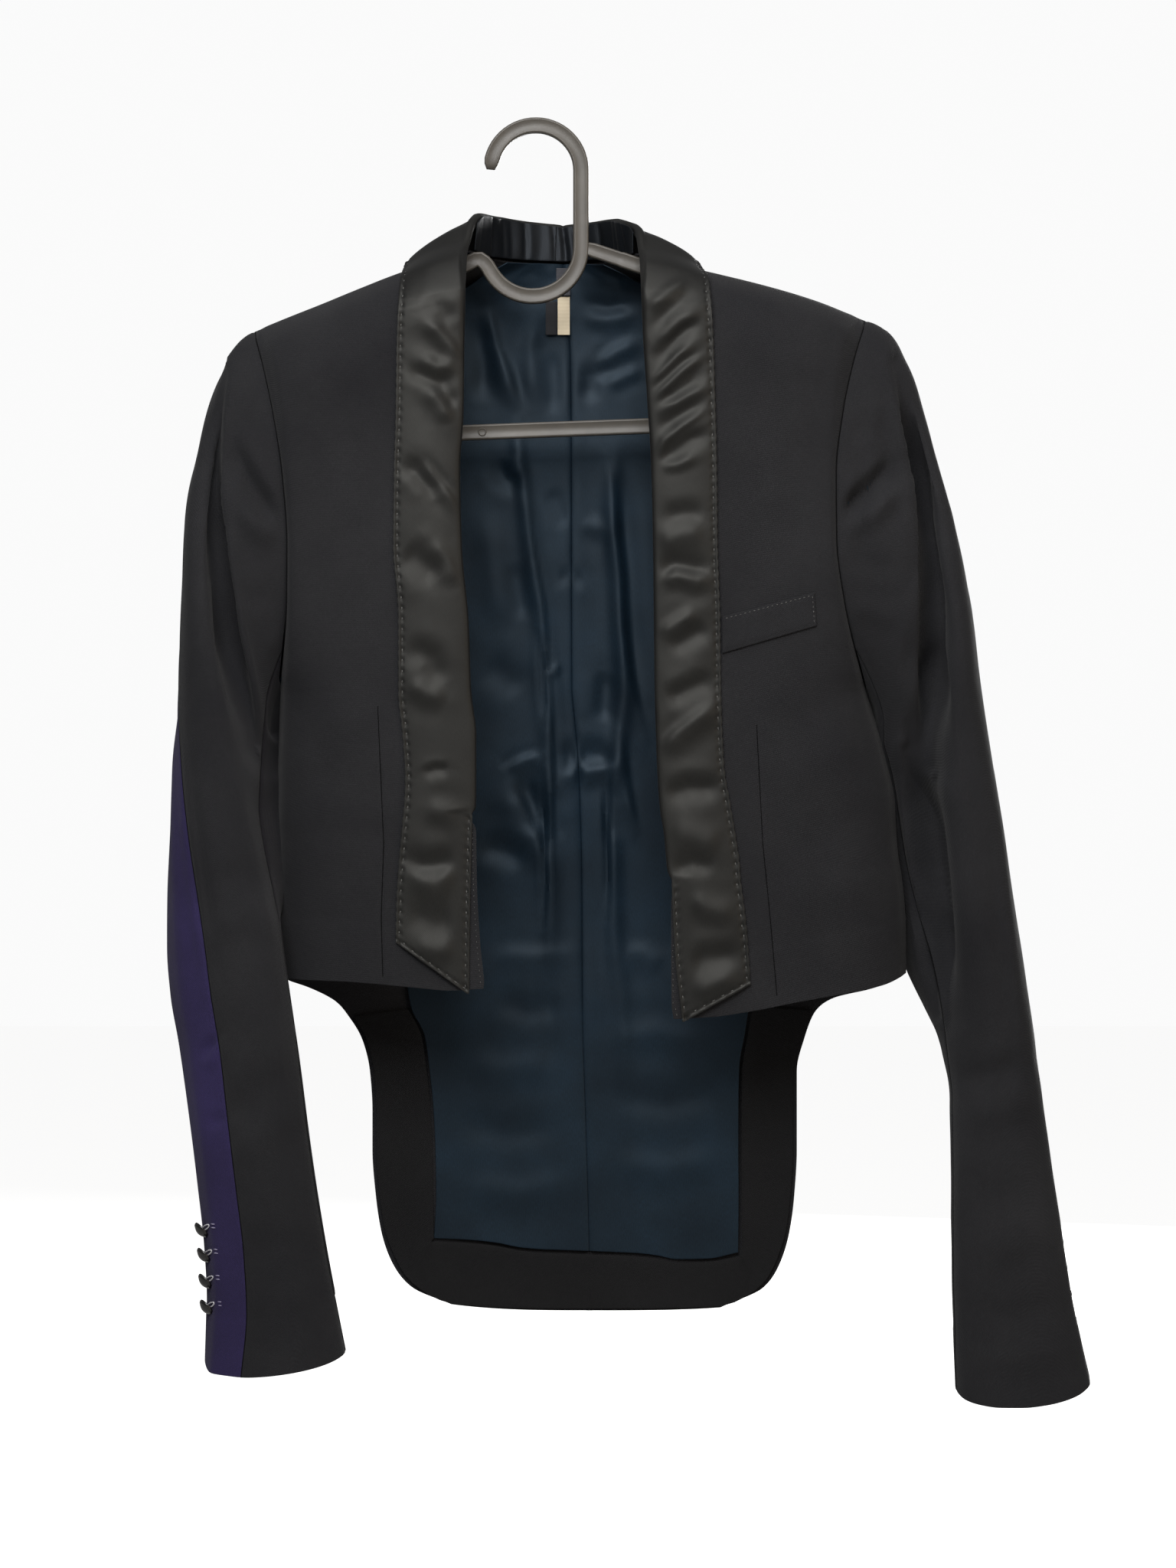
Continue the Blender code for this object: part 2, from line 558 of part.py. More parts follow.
def sleeve_loops(side):
    """The sleeve as closed loops, from the armhole to the cuff, and the columns of its two seams."""
    rows = SLEEVE[side]
    stations = np.arange(len(rows["in_x"]), dtype=float)
    at = np.linspace(0, stations[-1], SLEEVE_ROWS)
    now = {name: follow(stations, values, at) for name, values in rows.items()}
    seam_f = now["seam_f"][:, None] * math.pi
    seam_b = now["seam_b"][:, None] * math.pi
    front = hole_angles(side, "front")
    back = 2 * math.pi - hole_angles(side, "back")
    first_over = np.concatenate([front[7::-1], back[1:5]])
    first_under = np.concatenate([back[4:], 2 * math.pi + front[-2:6:-1]])
    ease = smooth_step((at[:, None] - 0.5) / 4)
    over = (first_over - first_over[0]) / (first_over[-1] - first_over[0])
    under = (first_under - first_under[0]) / (first_under[-1] - first_under[0])
    over = over + ease * (np.linspace(0, 1, len(over)) - over)
    under = (under + ease * (np.linspace(0, 1, len(under)) - under))[:, 1:-1]
    angle = np.concatenate([seam_f + over * (seam_b - seam_f),
                            seam_b + under * (seam_f + 2 * math.pi - seam_b)], axis=1)
    angle = np.mod(angle, 2 * math.pi)
    part = (1 - np.cos(angle)) / 2
    get = {name: values[:, None] for name, values in now.items()}
    x = get["in_x"] + part * (get["out_x"] - get["in_x"]) + get["bulge"] * 4 * part * (1 - part)
    z = get["in_z"] + part * (get["out_z"] - get["in_z"])
    middle = get["in_y"] + part * (get["out_y"] - get["in_y"])
    turn = np.sin(angle)
    round_out = np.abs(turn) ** 0.8
    front = turn > 0
    y = middle + np.where(front, -get["front"], get["back"]) * round_out
    settle = smooth_step((at[:, None] - 0.5) / 2)
    y = y + np.where(front, 1.0, 0.0) * round_out * settle * fold_push(side, x, z)
    z = z - get["dip"] * np.where(front, round_out, -0.4 * round_out)
    return stack(x, y, z), angle


def sleeve_out(loops):
    centre = loops.mean(axis=1, keepdims=True)
    return ways_out(loops, unit(loops - centre), wrap=True)


def make_body(side):
    """The front, back and sleeve of a side, with shared ways out at their seams."""
    front = front_grid(side)
    back = back_grid(side)
    loops, angles = sleeve_loops(side)
    front_out = ways_out(front, FORWARD)
    back_out = ways_out(back, -FORWARD)
    sleeve = sleeve_out(loops)

    # The shoulder seam: both top lines take the way out that points up.
    lean = unit(np.array([SHOULDER[side]["z"][0] - SHOULDER[side]["z"][-1], 0.0,
                          abs(SHOULDER[side]["x"][-1] - SHOULDER[side]["x"][0])]))
    if side == "right":
        lean[0] = -lean[0]
    lean = unit(lean + 0.2 * UP)
    front_out[0] = lean
    back_out[0, NECK_COLUMN:] = lean

    # The centre seam of the back, where both halves keep to the middle plane.
    back_out[:, 0, 0] = 0.0
    back_out[:, 0] = unit(back_out[:, 0])

    # The side seam, below the armhole.
    seam_rows = len(front) - ARM_ROWS
    outward = np.array([-1.0 if side == "right" else 1.0, 0.0, 0.0])
    front_out[ARM_ROWS:, -1] = outward
    back_out[ARM_ROWS: ARM_ROWS + seam_rows - 1, -1] = outward

    # The armhole.
    # Its first loop starts at the front seam, runs over the shoulder and ends under the arm.
    body = np.concatenate([front_out[7::-1, -1], back_out[1: ARM_ROWS + 1, -1], front_out[8:7:-1, -1]])
    shared = blend_seam(body, sleeve[0])
    sleeve[0] = blend_seam(sleeve[0], body)
    shared[16] = outward
    front_out[: ARM_ROWS + 1, -1] = shared[[7, 6, 5, 4, 3, 2, 1, 0, 17, 16]]
    back_out[: ARM_ROWS + 1, -1] = shared[7:17]

    front = trim(front, ("first row", "last column"))
    wall("front_" + side, front, front_out, WOOL, "wool")
    trimmed = trim(back, ("first row", "last column", "first column"))
    wall("back_" + side, trimmed, back_out, WOOL, "wool")

    closed = np.concatenate([loops, loops[:, :1]], axis=1)
    closed_out = np.concatenate([sleeve, sleeve[:, :1]], axis=1)
    cut = TOP_COLUMNS + 1
    seams = ("first row", "first column", "last column")
    top = trim(closed[:, :cut], seams, 1.2 * SEAM_GAP)
    wall("topsleeve_" + side, top, closed_out[:, :cut], WOOL, "wool")
    under = trim(closed[:, cut - 1:], seams, 1.2 * SEAM_GAP)
    wall("undersleeve_" + side, under, closed_out[:, cut - 1:], WOOL,
         "violet" if side == "right" else "wool")
    return back, back_out, loops, angles, sleeve


def steepness(depth, x, z):
    """How much longer a step along the depth is than one along the cloth's way out."""
    step = 0.5
    across = (depth(x + step, z) - depth(x - step, z)) / (2 * step)
    along = (depth(x, z + step) - depth(x, z - step)) / (2 * step)
    return np.minimum(np.sqrt(1 + across**2 + along**2), 3.0)


def read_grid(grid, rows, parts):
    """Points of the back's grid at any row and at any part of the way across."""
    rows, parts = np.broadcast_arrays(np.asarray(rows, float), np.asarray(parts, float))
    r = np.clip(rows.astype(int), 0, len(grid) - 2)
    c = np.clip(np.searchsorted(BACK_SPREAD, parts, side="right") - 1, 0, len(BACK_SPREAD) - 2)
    v = (rows - r)[..., None]
    u = ((parts - BACK_SPREAD[c]) / (BACK_SPREAD[c + 1] - BACK_SPREAD[c]))[..., None]
    upper = (1 - u) * grid[r, c] + u * grid[r, c + 1]
    lower = (1 - u) * grid[r + 1, c] + u * grid[r + 1, c + 1]
    return (1 - v) * upper + v * lower


def row_at_height(grid, part, height):
    """The row of the back's grid that reaches a height, at some part of the way across."""
    rows = np.arange(len(grid), dtype=float)
    return np.interp(-height, -read_grid(grid, rows, part)[:, 2], rows)


def part_at_edge(grid, side, row):
    """How far across the back the lining ends, on a row of its grid."""
    part = 0.5
    limit = 0.25 + 0.075 * row
    for _ in range(6):
        x, _, z = read_grid(grid, row, part)
        start, end = read_grid(grid, row, 0.0)[0], read_grid(grid, row, 1.0)[0]
        part += (column(LINING_EDGE[side], "z", "x", z) - x) / (end - start)
        part = float(np.clip(part, 0.05, 0.97))
    return min(part, limit)


def on_front(side, x, z, by):
    """Points that lie on the front, a distance out from its face."""
    def depth(across, along):
        return front_point_depth(side, across, along)

    return stack(x, depth(x, z) - by * steepness(depth, x, z), z)


FLAT_COLUMNS = 5
ROLL_ANGLES = np.array([0.3, 0.6, 0.85, 1.0]) * math.pi
RETURN = 3.0
PUFF = 2.5
COLLAR_STATIONS = 12
COLLAR_CLEAR = 1.2
TOP_LIFT = 0.7


def top_lift(z):
    """How much further the lapel stands off the front near its top, where the cloth bends most."""
    return TOP_LIFT * smooth_step((z + 130) / 20)


def roll_frames(side):
    """For each station of the shawl from the centre back: outer edge, centre of the roll, ways and turn."""
    toward = -1.0 if side == "right" else 1.0
    collar, lapel = COLLAR[side], LAPEL[side]
    stations = np.arange(len(collar["lie"]), dtype=float)
    at = np.linspace(stations[-1], 0, COLLAR_STATIONS)
    now = {name: follow(stations, values, at) for name, values in collar.items()}
    edge = stack(now["edge_x"], now["edge_y"], now["edge_z"])
    roll = stack(now["roll_x"], now["roll_y"], now["roll_z"])
    run = np.gradient(roll, axis=0)
    run[0] = (toward, 0.0, 0.0)
    level = unit(np.cross(run, UP))
    away = unit(edge - roll)
    level = np.where(((level * away).sum(axis=1) < 0)[:, None], -level, level)
    lie = now["lie"][:, None]
    across = np.array([-toward, 0.0, 0.0])
    out = unit(lie * unit(level * [1, 1, 0]) + (1 - lie) * FORWARD)
    tip = unit(lie * UP + (1 - lie) * across)
    centre = roll - ROLL_RADIUS * tip
    lapel_edge = on_front(side, lapel["edge"], lapel["edge_z"], LAID + SATIN + top_lift(lapel["z"]))
    middle = on_front(side, lapel["roll"] + toward * ROLL_RADIUS, lapel["z"], -WOOL / 2)
    ones = np.ones_like(lapel["z"])[:, None]
    return (np.concatenate([edge, lapel_edge]), np.concatenate([centre, middle]),
            np.concatenate([out, ones * FORWARD]), np.concatenate([tip, ones * across]),
            np.concatenate([np.ones(len(centre)), lapel["turned"]]), len(centre))


def shawl_grid(side):
    edge, centre, out, tip, turned, collar_rows = roll_frames(side)
    grid = np.zeros((len(edge), FLAT_COLUMNS + len(ROLL_ANGLES) + 1, 3))
    arrive = centre + ROLL_RADIUS * out
    for c in range(FLAT_COLUMNS):
        part = c / (FLAT_COLUMNS - 1)
        grid[:, c] = edge + part * (arrive - edge)
        swell = PUFF * 4 * part * (1 - part)
        grid[:collar_rows, c] += swell * unit(out[:collar_rows] + tip[:collar_rows])
        near = grid[:collar_rows, c]
        rise = LAID + SATIN + 0.6 * swell
        clear = on_front(side, near[:, 0], near[:, 2], rise + COLLAR_CLEAR)[:, 1]
        near[:, 1] = np.where(edge[:collar_rows, 1] < -1, np.minimum(near[:, 1], clear), near[:, 1])
        lying = grid[collar_rows:, c]
        rise = rise + top_lift(lying[:, 2])
        grid[collar_rows:, c] = on_front(side, lying[:, 0], lying[:, 2], rise)
    for c, angle in enumerate(ROLL_ANGLES):
        turn = (angle * turned)[:, None]
        grid[:, FLAT_COLUMNS + c] = centre + ROLL_RADIUS * (out * np.cos(turn) + tip * np.sin(turn))
    last = grid[:, -2]
    turn = (ROLL_ANGLES[-1] * turned)[:, None]
    onward = -out * np.sin(turn) + tip * np.cos(turn)
    grid[:, -1] = last + onward * (RETURN * turned)[:, None]
    return grid


def make_shawl(side):
    grid = shawl_grid(side)
    out = ways_out(grid, FORWARD)
    if out[:, :FLAT_COLUMNS, 1].sum() > 0:
        out = -out
    # The centre seam keeps to the middle plane.
    out[0, :, 0] = 0.0
    out[0] = unit(out[0])
    wall("shawl_" + side, trim(grid, ("first row",)), out, SATIN, "satin")


def make_stand():
    """The ruched stand, from one end of the neck round the back to the other."""
    lower, upper, inward = [], [], []
    for side in ("right", "left"):
        _, centre, out, tip, _, rows = roll_frames(side)
        collar = COLLAR[side]
        stations = np.arange(len(collar["lie"]), dtype=float)
        at = np.linspace(stations[-1], 0, COLLAR_STATIONS)
        seam = [follow(stations, collar[name], at) for name in ("seam_x", "seam_y", "seam_z")]
        order = slice(None, None, -1) if side == "right" else slice(1, None)
        lower.append(stack(*seam)[order])
        upper.append((centre - ROLL_RADIUS * out - (RETURN + 0.4) * tip)[:rows][order])
        inward.append((-out)[:rows][order])
    lower, upper, inward = (np.concatenate(part) for part in (lower, upper, inward))
    keep = slice(2, -2)
    lower, upper, inward = lower[keep], upper[keep], inward[keep]
    count = RUCHES * 3 + 1
    places = np.linspace(0, len(lower) - 1, count)
    stations = np.arange(len(lower), dtype=float)
    lower, upper, inward = (np.stack([follow(stations, part[:, k], places) for k in range(3)], axis=1)
                            for part in (lower, upper, inward))
    inward = unit(inward)
    wave = np.cos(np.arange(count) * 2 * math.pi / 3)[:, None]
    grid = np.stack([upper + part * (lower - upper) + RUCHE_HEIGHT * high * (0.5 + wave) * inward
                     for part, high in ((0.0, 0.0), (0.3, 0.8), (0.7, 1.0), (1.0, 0.6))])
    out = ways_out(grid, inward[None, :, :])
    wall("collar_stand", grid, out, SATIN, "satin")


def tuck_push(x, z):
    push = np.zeros_like(x)
    for line in TUCKS:
        ridge = column(line, "z", "x", z)
        inside = smooth_step((line["z"].max() + 20 - z) / 30) * smooth_step((z - line["z"].min()) / 6 + 1)
        push += TUCK_HEIGHT * inside * np.exp(-(((x - ridge) / TUCK_WIDTH) ** 2))
    return push


def inside(grid, out, rows, parts, by):
    """Points inside the back, made from its own points and moved in."""
    return read_grid(grid, rows, parts) - by * unit(read_grid(out, rows, parts))


def make_lining(side, grid, out):
    spread = np.array([0, 0.1, 0.22, 0.34, 0.46, 0.6, 0.8, 1.0])
    last = row_at_height(grid, 0.2, LINING_HEM["z"].mean())
    rows = np.append(np.arange(math.floor(last)), last)
    row_grid = np.zeros((len(rows), len(spread)))
    part_grid = np.zeros_like(row_grid)
    for r, row in enumerate(rows):
        part_grid[r] = spread * part_at_edge(grid, side, row)
        row_grid[r] = row
    row_grid[0] = 0.35
    for c, part in enumerate(part_grid[-1]):
        x = read_grid(grid, last, part)[0]
        row_grid[-1, c] = row_at_height(grid, part, column(LINING_HEM, "x", "z", x))
    neck_ease = 3.6 * np.clip(1 - row_grid / 3, 0, 1) * smooth_step(part_grid / 0.12)
    face = inside(grid, out, row_grid, part_grid, WOOL + BACKING_GAP + LINING + neck_ease[..., None])
    face[..., 1] -= tuck_push(face[..., 0], face[..., 2])
    ways = -unit(read_grid(out, row_grid, part_grid))
    wall("lining_" + side, trim(face, ("first column",)), ways, LINING, "lining")
    return row_grid[-1], part_grid[-1]


def make_facing(side, grid, out, hem_rows, hem_parts):
    """The wool band round the tail's lining: down the edge, then along the bottom to the centre."""
    first = len(grid) - len(TAIL[side]["x"]) + 4
    corner = hem_rows[-1]
    width = abs(grid[-1, -1, 0] - grid[-1, 0, 0])
    beside = BESIDE / width
    outer, inner = [], []
    for row in np.append(np.arange(first, math.floor(corner) + 1), corner):
        outer.append((row, 1 - FACING_INSET / width))
        inner.append((row, part_at_edge(grid, side, row) + beside))
    below = BESIDE / 12
    foot = (corner + below, hem_parts[-1] + beside)
    end = len(grid) - 1 - 0.12
    outer += [((corner + end) / 2, 1 - FACING_INSET / width), (end, 0.97)]
    inner += [foot, foot]
    for row, part in zip(hem_rows[-2::-1], hem_parts[-2::-1]):
        outer.append((end, part))
        inner.append((row + below, part))
    outer, inner = np.array(outer), np.array(inner)
    inner[-len(hem_rows) - 1, 0] -= 0.02
    across = np.array([0, 0.5, 1.0])[None, :]
    rows = outer[:, :1] + (inner[:, :1] - outer[:, :1]) * across
    parts = outer[:, 1:] + (inner[:, 1:] - outer[:, 1:]) * across
    face = inside(grid, out, rows, parts, WOOL + BACKING_GAP + SATIN)
    ways = -unit(read_grid(out, rows, parts))
    wall("tail_facing_" + side, trim(face, ("last row",)), ways, SATIN, "wool")


def patch(name, corners, place, thick, surface, across=4, down=2):
    """A small piece of cloth between four corners, laid by a function."""
    (ax, az), (bx, bz), (cx, cz), (dx, dz) = corners
    u = np.linspace(0, 1, across + 1)[None, :]
    v = np.linspace(0, 1, down + 1)[:, None]
    x = (1 - v) * (ax + (bx - ax) * u) + v * (dx + (cx - dx) * u)
    z = (1 - v) * (az + (bz - az) * u) + v * (dz + (cz - dz) * u)
    grid = place(x, z)
    wall(name, grid, ways_out(grid, FORWARD), thick, surface)


def make_labels(grid):
    """Blank labels at the back of the neck, flat before the lining's centre seam."""
    def place(x, z):
        rows = np.interp(-z, -grid[:, 0, 2], np.arange(len(grid), dtype=float))
        depth = read_grid(grid, rows, 0.0)[..., 1]
        return stack(x, depth - WOOL - BACKING_GAP - LINING - 1.5, z)

    for name, (left, right, top, bottom, surface) in LABELS.items():
        corners = [(left, top), (right, top), (right, bottom), (left, bottom)]
        patch(name, corners, place, 0.6, surface, across=2, down=3)


def make_welt():
    def place(x, z):
        return on_front("left", x, z, LAID + 1.6)

    patch("chest_welt", WELT, place, 1.6, "wool")


def turned_solid(name, base, axis, profile, sides, surface):
    """A solid turned about an axis, from a profile of radius and height whose last radius is 0."""
    axis = unit(np.asarray(axis, float))
    first = unit(np.cross(axis, [0.0, 0.0, 1.0]))
    second = np.cross(axis, first)
    points, faces = [], []
    for radius, height in profile[:-1]:
        for k in range(sides):
            angle = 2 * math.pi * k / sides
            ring = math.cos(angle) * first + math.sin(angle) * second
            points.append(base + height * axis + radius * ring)
    points.append(base + profile[-1][1] * axis)
    for r in range(len(profile) - 2):
        for k in range(sides):
            a, b = r * sides + k, r * sides + (k + 1) % sides
            faces.append((a, b, b + sides, a + sides))
    start = (len(profile) - 2) * sides
    for k in range(sides):
        faces.append((start + k, start + (k + 1) % sides, len(points) - 1))
    faces.append(tuple(reversed(range(sides))))
    solid(name, points, faces, surface)


BUTTON_PROFILE = [(1.4, 0.0), (1.4, 2.0), (5.0, 2.3), (BUTTON_RADIUS, 3.2), (4.5, 5.3), (0, 6.3)]


def make_buttons(side, loops, angles, out):
    turn, heights = BUTTONS[side]
    for number, height in enumerate(heights, start=1):
        at = np.zeros((len(loops), 3))
        ways = np.zeros((len(loops), 3))
        for r in range(len(loops)):
            order = np.argsort(angles[r])
            for k in range(3):
                at[r, k] = np.interp(turn * math.pi, angles[r][order], loops[r, order, k])
                ways[r, k] = np.interp(turn * math.pi, angles[r][order], out[r, order, k])
        order = np.argsort(at[:, 2])
        point = np.array([np.interp(height, at[order, 2], at[order, k]) for k in range(3)])
        way = unit(np.array([np.interp(height, at[order, 2], ways[order, k]) for k in range(3)]))
        name = f"button_{side}_{number}"
        turned_solid(name, point + SEAM_GAP * way, way, BUTTON_PROFILE, 10, "button")


def arc(centre, radius, start, end, steps):
    angles = np.radians(np.linspace(start, end, steps + 1))
    return [(centre[0] + radius * math.cos(a), centre[1] + radius * math.sin(a)) for a in angles]


def swept_bar(name, path, width, depth, surface):
    """A bar with bevelled edges along a path in the plane of the hanger, with rounded ends."""
    path = np.array(path, float)
    run = unit(np.gradient(path, axis=0))
    side = np.stack([-run[:, 1], run[:, 0]], axis=1)
    w, d = width / 2, depth / 2
    bevel = 0.26 * width
    section = [(w, -d + bevel), (w, d - bevel), (w - bevel, d), (-w + bevel, d),
               (-w, d - bevel), (-w, -d + bevel), (-w + bevel, -d), (w - bevel, -d)]
    scales = np.ones(len(path))
    scales[0] = scales[-1] = 0.6
    points, faces = [], []
    for place, across, scale in zip(path, side, scales):
        for a, b in section:
            points.append((place[0] + scale * a * across[0], scale * b, place[1] + scale * a * across[1]))
    n = len(section)
    for r in range(len(path) - 1):
        for k in range(n):
            a, b = r * n + k, r * n + (k + 1) % n
            faces.append((a, b, b + n, a + n))
    faces.append(tuple(reversed(range(n))))
    faces.append(tuple(range((len(path) - 1) * n, len(path) * n)))
    return solid(name, points, faces, surface)


HOOK_CENTRE = (0.0, -22.4)
SWING_CENTRE = (-1.9, -69.0)
SWING_RADIUS = 29.0


def make_hanger():
    """Hook, stem, the swing under it, both arms and the crossbar, as one moulded bar."""
    path = arc(HOOK_CENTRE, HOOK_RADIUS, 174, 0, 14)
    tip = (path[0][0] - 0.2, path[0][1] - 2.2)
    path = [tip] + path + [(HOOK_RADIUS, -35), (HOOK_RADIUS, -50)]
    path += arc(SWING_CENTRE, SWING_RADIUS, 0, -148, 11)
    path += [(-30.2, -78.6), (-34.6, -75.7), (-40.5, -78.1), (-50, -82.0), (-62, -86.0), (-92, -95.9),
             (-120, -107.1), (-146, -117.6)]
    path += [(-154, -122.5), (-159, -131), (-160, -145), (-160, -160), (-157.5, -171), (-151, -179.5),
             (-140, -183.4)]
    path += [(-43, -180), (66.5, -176), (178, -172.2)]
    path += [(189, -168.5), (196, -160), (198.5, -147), (196.5, -134), (190, -124), (178, -117.5)]
    path += [(164.5, -107.2 - 0.6), (119, -94.8), (96.5, -89.8), (62, -79.6), (46, -74.2)]
    bar = swept_bar("hanger", path, BAR_WIDTH, BAR_DEPTH, "plastic")
    stub = swept_bar("arm_root", [(60, -79.0), (52, -76.3), (36, -71), (28, -68.4)],
                     BAR_WIDTH - 0.5, BAR_DEPTH - 0.5, "plastic")
    stub.hide_render = True
    stub.hide_set(True)
    join = bar.modifiers.new("root", "BOOLEAN")
    join.operation = "UNION"
    join.solver = "EXACT"
    join.object = stub


def clear_scene():
    for item in list(bpy.data.objects):
        bpy.data.objects.remove(item, do_unlink=True)
    bpy.context.scene.unit_settings.system = "METRIC"


def make_coat():
    for side in ("right", "left"):
        back, back_out, loops, angles, sleeve = make_body(side)
        make_shawl(side)
        hem = make_lining(side, back, back_out)
        make_facing(side, back, back_out, *hem)
        make_buttons(side, loops, angles, sleeve)
    make_stand()
    make_welt()
    make_labels(back)


clear_scene()
make_coat()
make_hanger()
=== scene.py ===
"""A hung tailcoat: its cloth, threads, buttons and moulded hanger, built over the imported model.

Sizes in the tables are in millimetres. x runs along the hanger, the front faces -y and z is up.
Right and left are the wearer's.
"""

import math

import bmesh
import bpy
import numpy as np
from mathutils import Matrix, Vector


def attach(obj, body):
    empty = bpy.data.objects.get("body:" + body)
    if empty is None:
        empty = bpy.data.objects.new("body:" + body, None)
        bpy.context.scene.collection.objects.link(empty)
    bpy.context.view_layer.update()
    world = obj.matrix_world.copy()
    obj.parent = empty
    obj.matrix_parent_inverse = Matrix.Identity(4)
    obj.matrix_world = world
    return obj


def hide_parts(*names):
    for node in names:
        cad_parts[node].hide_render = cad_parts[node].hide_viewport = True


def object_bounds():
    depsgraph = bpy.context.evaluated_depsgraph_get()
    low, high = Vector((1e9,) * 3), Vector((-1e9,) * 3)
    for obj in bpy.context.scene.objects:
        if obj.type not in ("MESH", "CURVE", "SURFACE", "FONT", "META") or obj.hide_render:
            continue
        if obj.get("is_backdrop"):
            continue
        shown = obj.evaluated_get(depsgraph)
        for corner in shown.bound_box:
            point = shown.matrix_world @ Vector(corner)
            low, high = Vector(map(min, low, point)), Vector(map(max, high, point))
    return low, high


bl_info = {
    "name": "Tailcoat on a Hanger",
    "version": (1, 0, 0),
    "blender": (4, 5, 0),
    "location": "3D View > Sidebar > Tailcoat",
    "description": "Builds a hung tailcoat with satin lapels, and its studio",
    "category": "Add Mesh",
}

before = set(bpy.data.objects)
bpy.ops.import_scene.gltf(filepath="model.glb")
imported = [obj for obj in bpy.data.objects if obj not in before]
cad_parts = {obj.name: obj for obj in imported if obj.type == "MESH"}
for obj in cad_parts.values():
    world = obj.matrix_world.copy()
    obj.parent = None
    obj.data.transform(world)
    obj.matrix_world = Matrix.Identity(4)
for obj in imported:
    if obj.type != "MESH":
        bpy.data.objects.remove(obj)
CAD_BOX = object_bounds()

MM = 0.001

# Walls of the cloths, and the gap under what is laid on them.
WOOL = 2.0
SATIN = 1.6
LINING = 1.2
LAID = 0.4

# Depths of the flat of the chest, the back and the tail, and the drop over which a shoulder rounds off.
CHEST_FRONT = -48.0
CHEST_BACK = 48.0
TAIL_BACK = 46.0
SHOULDER_ROUND = 34.0
# How squarely the body turns from its flat to its sides.
SIDE_POWER = 3.2
SIDE_ROOT = 2.2

ROLL_RADIUS = WOOL / 2 + LAID + SATIN
# Gathers round the stand.
RUCHES = 15

HOOK_RADIUS = 27.1
BAR_WIDTH = 9.2
BAR_DEPTH = 7.0


def table(names, *rows):
    """A table as a dict, with a column of numbers for each name."""
    return dict(zip(names.split(), np.array(rows, float).T))


def follow(keys, values, at):
    """A smooth line through a table's points that never swings past them."""
    order = np.argsort(keys)
    keys = np.asarray(keys, float)[order]
    values = np.asarray(values, float)[order]
    wide = (-1,) + (1,) * (values.ndim - 1)
    steps = np.diff(keys)
    rates = np.diff(values, axis=0) / steps.reshape(wide)
    before, after = rates[:-1], rates[1:]
    same = before * after > 0
    total = np.where(same, before + after, 1.0)
    slopes = np.empty_like(values)
    slopes[1:-1] = np.where(same, 2 * before * after / total, 0.0)
    slopes[0], slopes[-1] = rates[0], rates[-1]
    at = np.clip(np.asarray(at, float), keys[0], keys[-1])
    i = np.clip(np.searchsorted(keys, at, side="right") - 1, 0, len(steps) - 1)
    shape = np.shape(at) + (1,) * (values.ndim - 1)
    step = steps[i].reshape(shape)
    t = ((at - keys[i]) / steps[i]).reshape(shape)
    rise = values[i + 1] - values[i]
    bend = slopes[i] * step * t * (1 - t) ** 2 - slopes[i + 1] * step * t**2 * (1 - t)
    return values[i] + rise * t * t * (3 - 2 * t) + bend


def column(rows, key, name, at):
    return follow(rows[key], rows[name], at)


# The line of each shoulder, from the neck seam to the sleeve.
SHOULDER = {
    "right": table("x z", (-40.5, -70), (-62, -77.5), (-77.5, -83), (-92, -88), (-120, -99.5),
                   (-154.5, -113), (-169, -119)),
    "left": table("x z", (61.5, -71.5), (77, -77), (96.5, -82), (119, -87), (164.5, -99.5),
                  (198, -112.5)),
}

# Each armhole, seen from the front: its ends, and how far its middle curves toward the neck.
ARMHOLE = {
    "right": dict(top=(-169.0, -119.0), under=(-153.5, -334.0), bulge=12.5, front=38.0, back=40.0),
    "left": dict(top=(198.0, -112.5), under=(198.0, -334.0), bulge=19.5, front=38.0, back=40.0),
}

# The side seam, from the armhole down.
SIDE = {
    "right": table("z x", (-334, -153.5), (-354, -154.5), (-412, -156), (-472, -155.5), (-507, -155)),
    "left": table("z x", (-334, 198), (-352, 204), (-372, 210), (-400, 216), (-428, 217.5),
                  (-467, 222.5), (-504, 222.5)),
}

# The front's own edge: it lies in the lapel's roll, and shows below it.
FRONT_EDGE = {
    "right": table("z x", (-70, -40.5), (-79, -49), (-88, -51), (-97, -51.5), (-106, -51.5),
                   (-118, -51.5), (-140, -47), (-171, -45.2), (-205, -47.2), (-250, -46.2), (-272, -45.2),
                   (-295, -42.2), (-335, -40.7), (-362, -37.7), (-396, -37.9), (-407, -43.5),
                   (-418, -35), (-470, -34), (-496, -31), (-509, -30), (-512, -30.5)),
    "left": table("z x", (-71.5, 61.5), (-80, 70.5), (-89, 73), (-97, 73.5), (-106, 73.5),
                  (-118, 73.5), (-145, 70), (-163, 69.2), (-205, 71.7), (-249, 72.7), (-293, 73.2),
                  (-335, 73.7), (-382, 75.2), (-405, 76.7), (-421, 79.2), (-436, 81), (-448, 87.5),
                  (-460, 80.5), (-499, 80.5), (-526, 81), (-530, 82)),
}

# Rows of each front below the armhole: the height at the open edge, and the part of the way down
# the side seam. Close rows lie where the lapel stops turning in.
FRONT_ROWS = {
    "right": table("edge_z part", (-362, 0.2), (-396, 0.38), (-407, 0.45), (-418, 0.52), (-450, 0.7),
                   (-485, 0.87), (-505, 0.96)),
    "left": table("edge_z part", (-380, 0.22), (-412, 0.4), (-436, 0.53), (-448, 0.6), (-460, 0.67),
                  (-490, 0.82), (-515, 0.94)),
}

